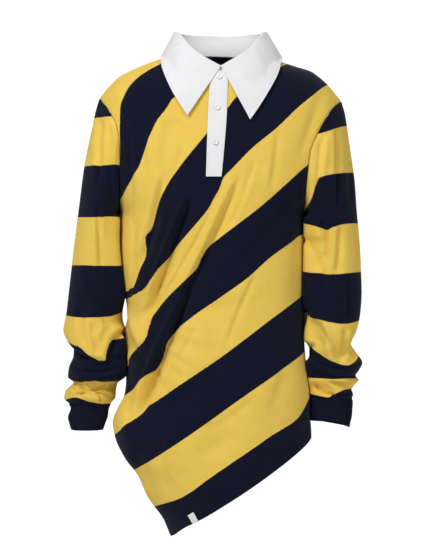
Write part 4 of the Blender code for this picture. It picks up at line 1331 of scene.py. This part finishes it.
strip, strip_x, strip_drop = placket()
strip_piece = cloth("placket_cotton", strip, normals(strip), WOVEN, strip_x, strip_drop,
                    WHITE_COTTON)
state_sheet(strip_piece, "placket", "white_cotton", strip, 5, flat=(0.034, 0.185), held="laid",
            rests_on=["front"])

seam_lift = PLACKET_LIFT + WOVEN - STITCH_DOWN
down = np.linspace(200, 40, 60)
strip_lines = [on_front(read(PLACKET, edge, down) + inwards, down, seam_lift)
               for edge, inwards in (("left", STRIP_STITCH_IN), ("right", -STRIP_STITCH_IN))]
strip_lines += [on_front(np.linspace(-18, 1.5, 30), at, seam_lift) for at in (200.5, 191.0)]
stitches("placket_stitches", strip_lines, WHITE_THREAD)


# %% The buttons
def button(centre, normal):
    """A turned profile over rings and angles, less four small bells where the holes are."""
    side = unit(np.cross(normal, [0, 0, 1]))
    up = np.cross(side, normal)
    radius, height = np.array(BUTTON_PROFILE).T[..., None]
    turn = 2 * np.pi * np.arange(BUTTON_STEPS) / BUTTON_STEPS
    across, upward = radius * np.cos(turn), radius * np.sin(turn)
    high = height + 0 * across
    for corner in math.pi / 4 + math.pi / 2 * np.arange(4):
        away = np.hypot(across - HOLE_AWAY * np.cos(corner), upward - HOLE_AWAY * np.sin(corner))
        dip = ease((HOLE_RADIUS * 1.3 - away) / (HOLE_RADIUS * 0.8))
        high -= HOLE_DEEP * dip * ((radius < HOLES_WITHIN) & (height > 0))
    points = centre + across[..., None] * side + upward[..., None] * up + high[..., None] * normal
    faces = quads(closed(np.arange(high.size).reshape(high.shape)))
    return points.reshape(-1, 3), faces, side, up


thread_lines = []
bar = np.linspace(-1, 1, 9)[:, None]
for number, (x, drop) in enumerate(BUTTONS, 1):
    seat, facing = on_front([x], [drop], PLACKET_LIFT + WOVEN + BUTTON_LIFT)
    seat, facing = seat[0], facing[0]
    points, faces, side, up = button(seat, facing)
    piece = add_mesh("button_%d_resin" % number, points, faces, BUTTON_RESIN, crisp=80)
    mend(piece, merge=1e-6)
    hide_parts("button_%d" % number)
    bow = up * bar * 0.95 + facing * (1.55 + 0.25 * np.cos(bar * 1.4))
    for hand, level in ((-1, -0.16), (-1, 0.16), (1, -0.16), (1, 0.16)):
        end = seat + (side * hand * 0.88 + up * level)
        thread_lines.append((end + bow, np.tile(facing, (9, 1))))
stitches("button_thread", thread_lines, WHITE_THREAD, pitch=0.5, length=1.5,
         radius=0.17, proud=0.0)

# %% [markdown]
# ## Hem tab and hem stitches
# A small folded ribbon is sewn flat just above the front hem, and it is left plain. The hem's
# two lines of stitches use the rows of the panel grid that lie 15 and 20 mm above its edge.

# %% The tab
TAB_X = -43
TAB_WIDE = 11
TAB_TALL = 16.5
TAB_THICK = 0.8
TAB_TILT = 33
TAB_ABOVE_HEM = 11
TAB_AHEAD = 100

slant = math.radians(TAB_TILT)
middle_drop = HEM_DROP - HEM_RISE_X * TAB_X + HEM_RISE_Y * TAB_AHEAD - TAB_ABOVE_HEM
down_tab, along_tab = np.meshgrid(np.linspace(TAB_TALL / 2, -TAB_TALL / 2, 31),
                                  np.linspace(-TAB_WIDE / 2, TAB_WIDE / 2, 21), indexing="ij")
tab_x = TAB_X + math.cos(slant) * along_tab + math.sin(slant) * down_tab
tab_drop = middle_drop - math.sin(slant) * along_tab + math.cos(slant) * down_tab
from_ends = TAB_TALL / 2 - np.abs(down_tab)
tab_edge = np.minimum(TAB_WIDE / 2 - np.abs(along_tab), from_ends)
tab_lift = PLACKET_LIFT + TAB_THICK + HEM_SWELL - 0.3 * bell(tab_edge, 0.5)
tab = on_front(tab_x, tab_drop, tab_lift - 0.2 * bell(from_ends - 2, 0.5))[0]
tab_piece = cloth("hem_tab_ribbon", tab, normals(tab), TAB_THICK, along_tab, down_tab, WHITE_COTTON)
state_sheet(tab_piece, "hem_tab", "white_cotton", tab, 6, flat=(0.0125, 0.0178), held="laid",
            rests_on=["front"])

# %% Hem stitches
hem_lines = [(grid[row], normals(grid)[row]) for grid in panels.values() for row in (12, 16)]
stitches("hem_stitches", hem_lines, NAVY_THREAD, pitch=3.2, length=2.5)

# %% [markdown]
# ## Studio
# The shirt hangs level with the camera in front of a white ground, under large soft lights.
# A wide pale floor lies far below. The camera stands four metres off, so the perspective is
# as flat as a catalogue picture's, and it looks straight at the middle of the picture.


# %% Floor
FLOOR_HALF = 4200
FLOOR_CELLS = 45
FLOOR_BELOW = 1450
FLOOR_BEHIND = 200

side = np.linspace(-FLOOR_HALF, FLOOR_HALF, FLOOR_CELLS + 1)
x, y = np.meshgrid(side, side)
points = np.stack([x, y + FLOOR_BEHIND, np.full_like(x, -FLOOR_BELOW)], -1).reshape(-1, 3)
graph = Graph("pale_floor", Roughness=0.9)
graph.tint(graph.noise(3), (0.86, 0.86, 0.87, 1), (0.82, 0.82, 0.83, 1))
mesh = bpy.data.meshes.new("floor")
mesh.from_pydata((points * MM).tolist(), [], quads(np.arange(x.size).reshape(x.shape)).tolist())
mesh.materials.append(graph.material)
place("floor", mesh)
print("floor", len(mesh.polygons), "faces")

# %% [markdown]
# The white wall behind is the brightest part of the room, and the rest of the room is dimmer,
# so that folds have a light and a shaded side. The room is a world colour that depends on
# the direction alone. A real wall would stand in the way of a camera behind the shirt. The
# picture is shown with the plain Standard transform, so that white cloth stays white.

# %% Light
ROOM_LIGHT = 0.33
WALL_LIGHT = 1.05
bpy.context.scene.view_settings.view_transform = "Standard"
world = bpy.data.worlds.new("studio")
bpy.context.scene.world = world
world.use_nodes = True
sky = world.node_tree
way = sky.nodes.new("ShaderNodeTexCoord").outputs["Generated"]
split = sky.nodes.new("ShaderNodeSeparateXYZ")
sky.links.new(way, split.inputs[0])
behind = sky.nodes.new("ShaderNodeMapRange")
behind.interpolation_type = "SMOOTHSTEP"
for socket, value in ((1, 0.75), (2, 0.97), (3, ROOM_LIGHT), (4, WALL_LIGHT)):
    behind.inputs[socket].default_value = value
sky.links.new(split.outputs[1], behind.inputs[0])
sky.links.new(behind.outputs[0], sky.nodes["Background"].inputs["Strength"])
sky.nodes["Background"].inputs["Color"].default_value = (1, 1, 1, 1)


def soft_light(name, spot, target, size, power):
    """A square area light at a spot, turned towards its target."""
    lamp = bpy.data.lights.new(name, "AREA")
    lamp.size, lamp.energy = size, power
    light = place(name, lamp)
    ahead = np.array(target) - np.array(spot)
    flat = math.hypot(ahead[0], ahead[1])
    light.location = spot
    light.rotation_euler = (math.pi / 2 + math.atan2(ahead[2], flat), 0,
                            math.atan2(-ahead[0], ahead[1]))


soft_light("key", (-1.8, -2.6, 2.6), (0, 0, -0.35), 1.1, 126)
soft_light("fill", (2.3, -3.2, 0.6), (0, 0, -0.4), 2.2, 37)
soft_light("rear", (0.6, 3.0, 1.8), (0, 0, -0.35), 2.2, 60)

# %% Camera
eye = bpy.data.cameras.new("camera")
eye.sensor_fit = "VERTICAL"
eye.sensor_height = 36
eye.lens = 154.6
camera = place("camera", eye)
camera.location = (-0.0034, -4.0, -0.3638)
camera.rotation_euler = (math.pi / 2, 0, 0)
bpy.context.scene.camera = camera
print("lens", eye.lens, "mm")
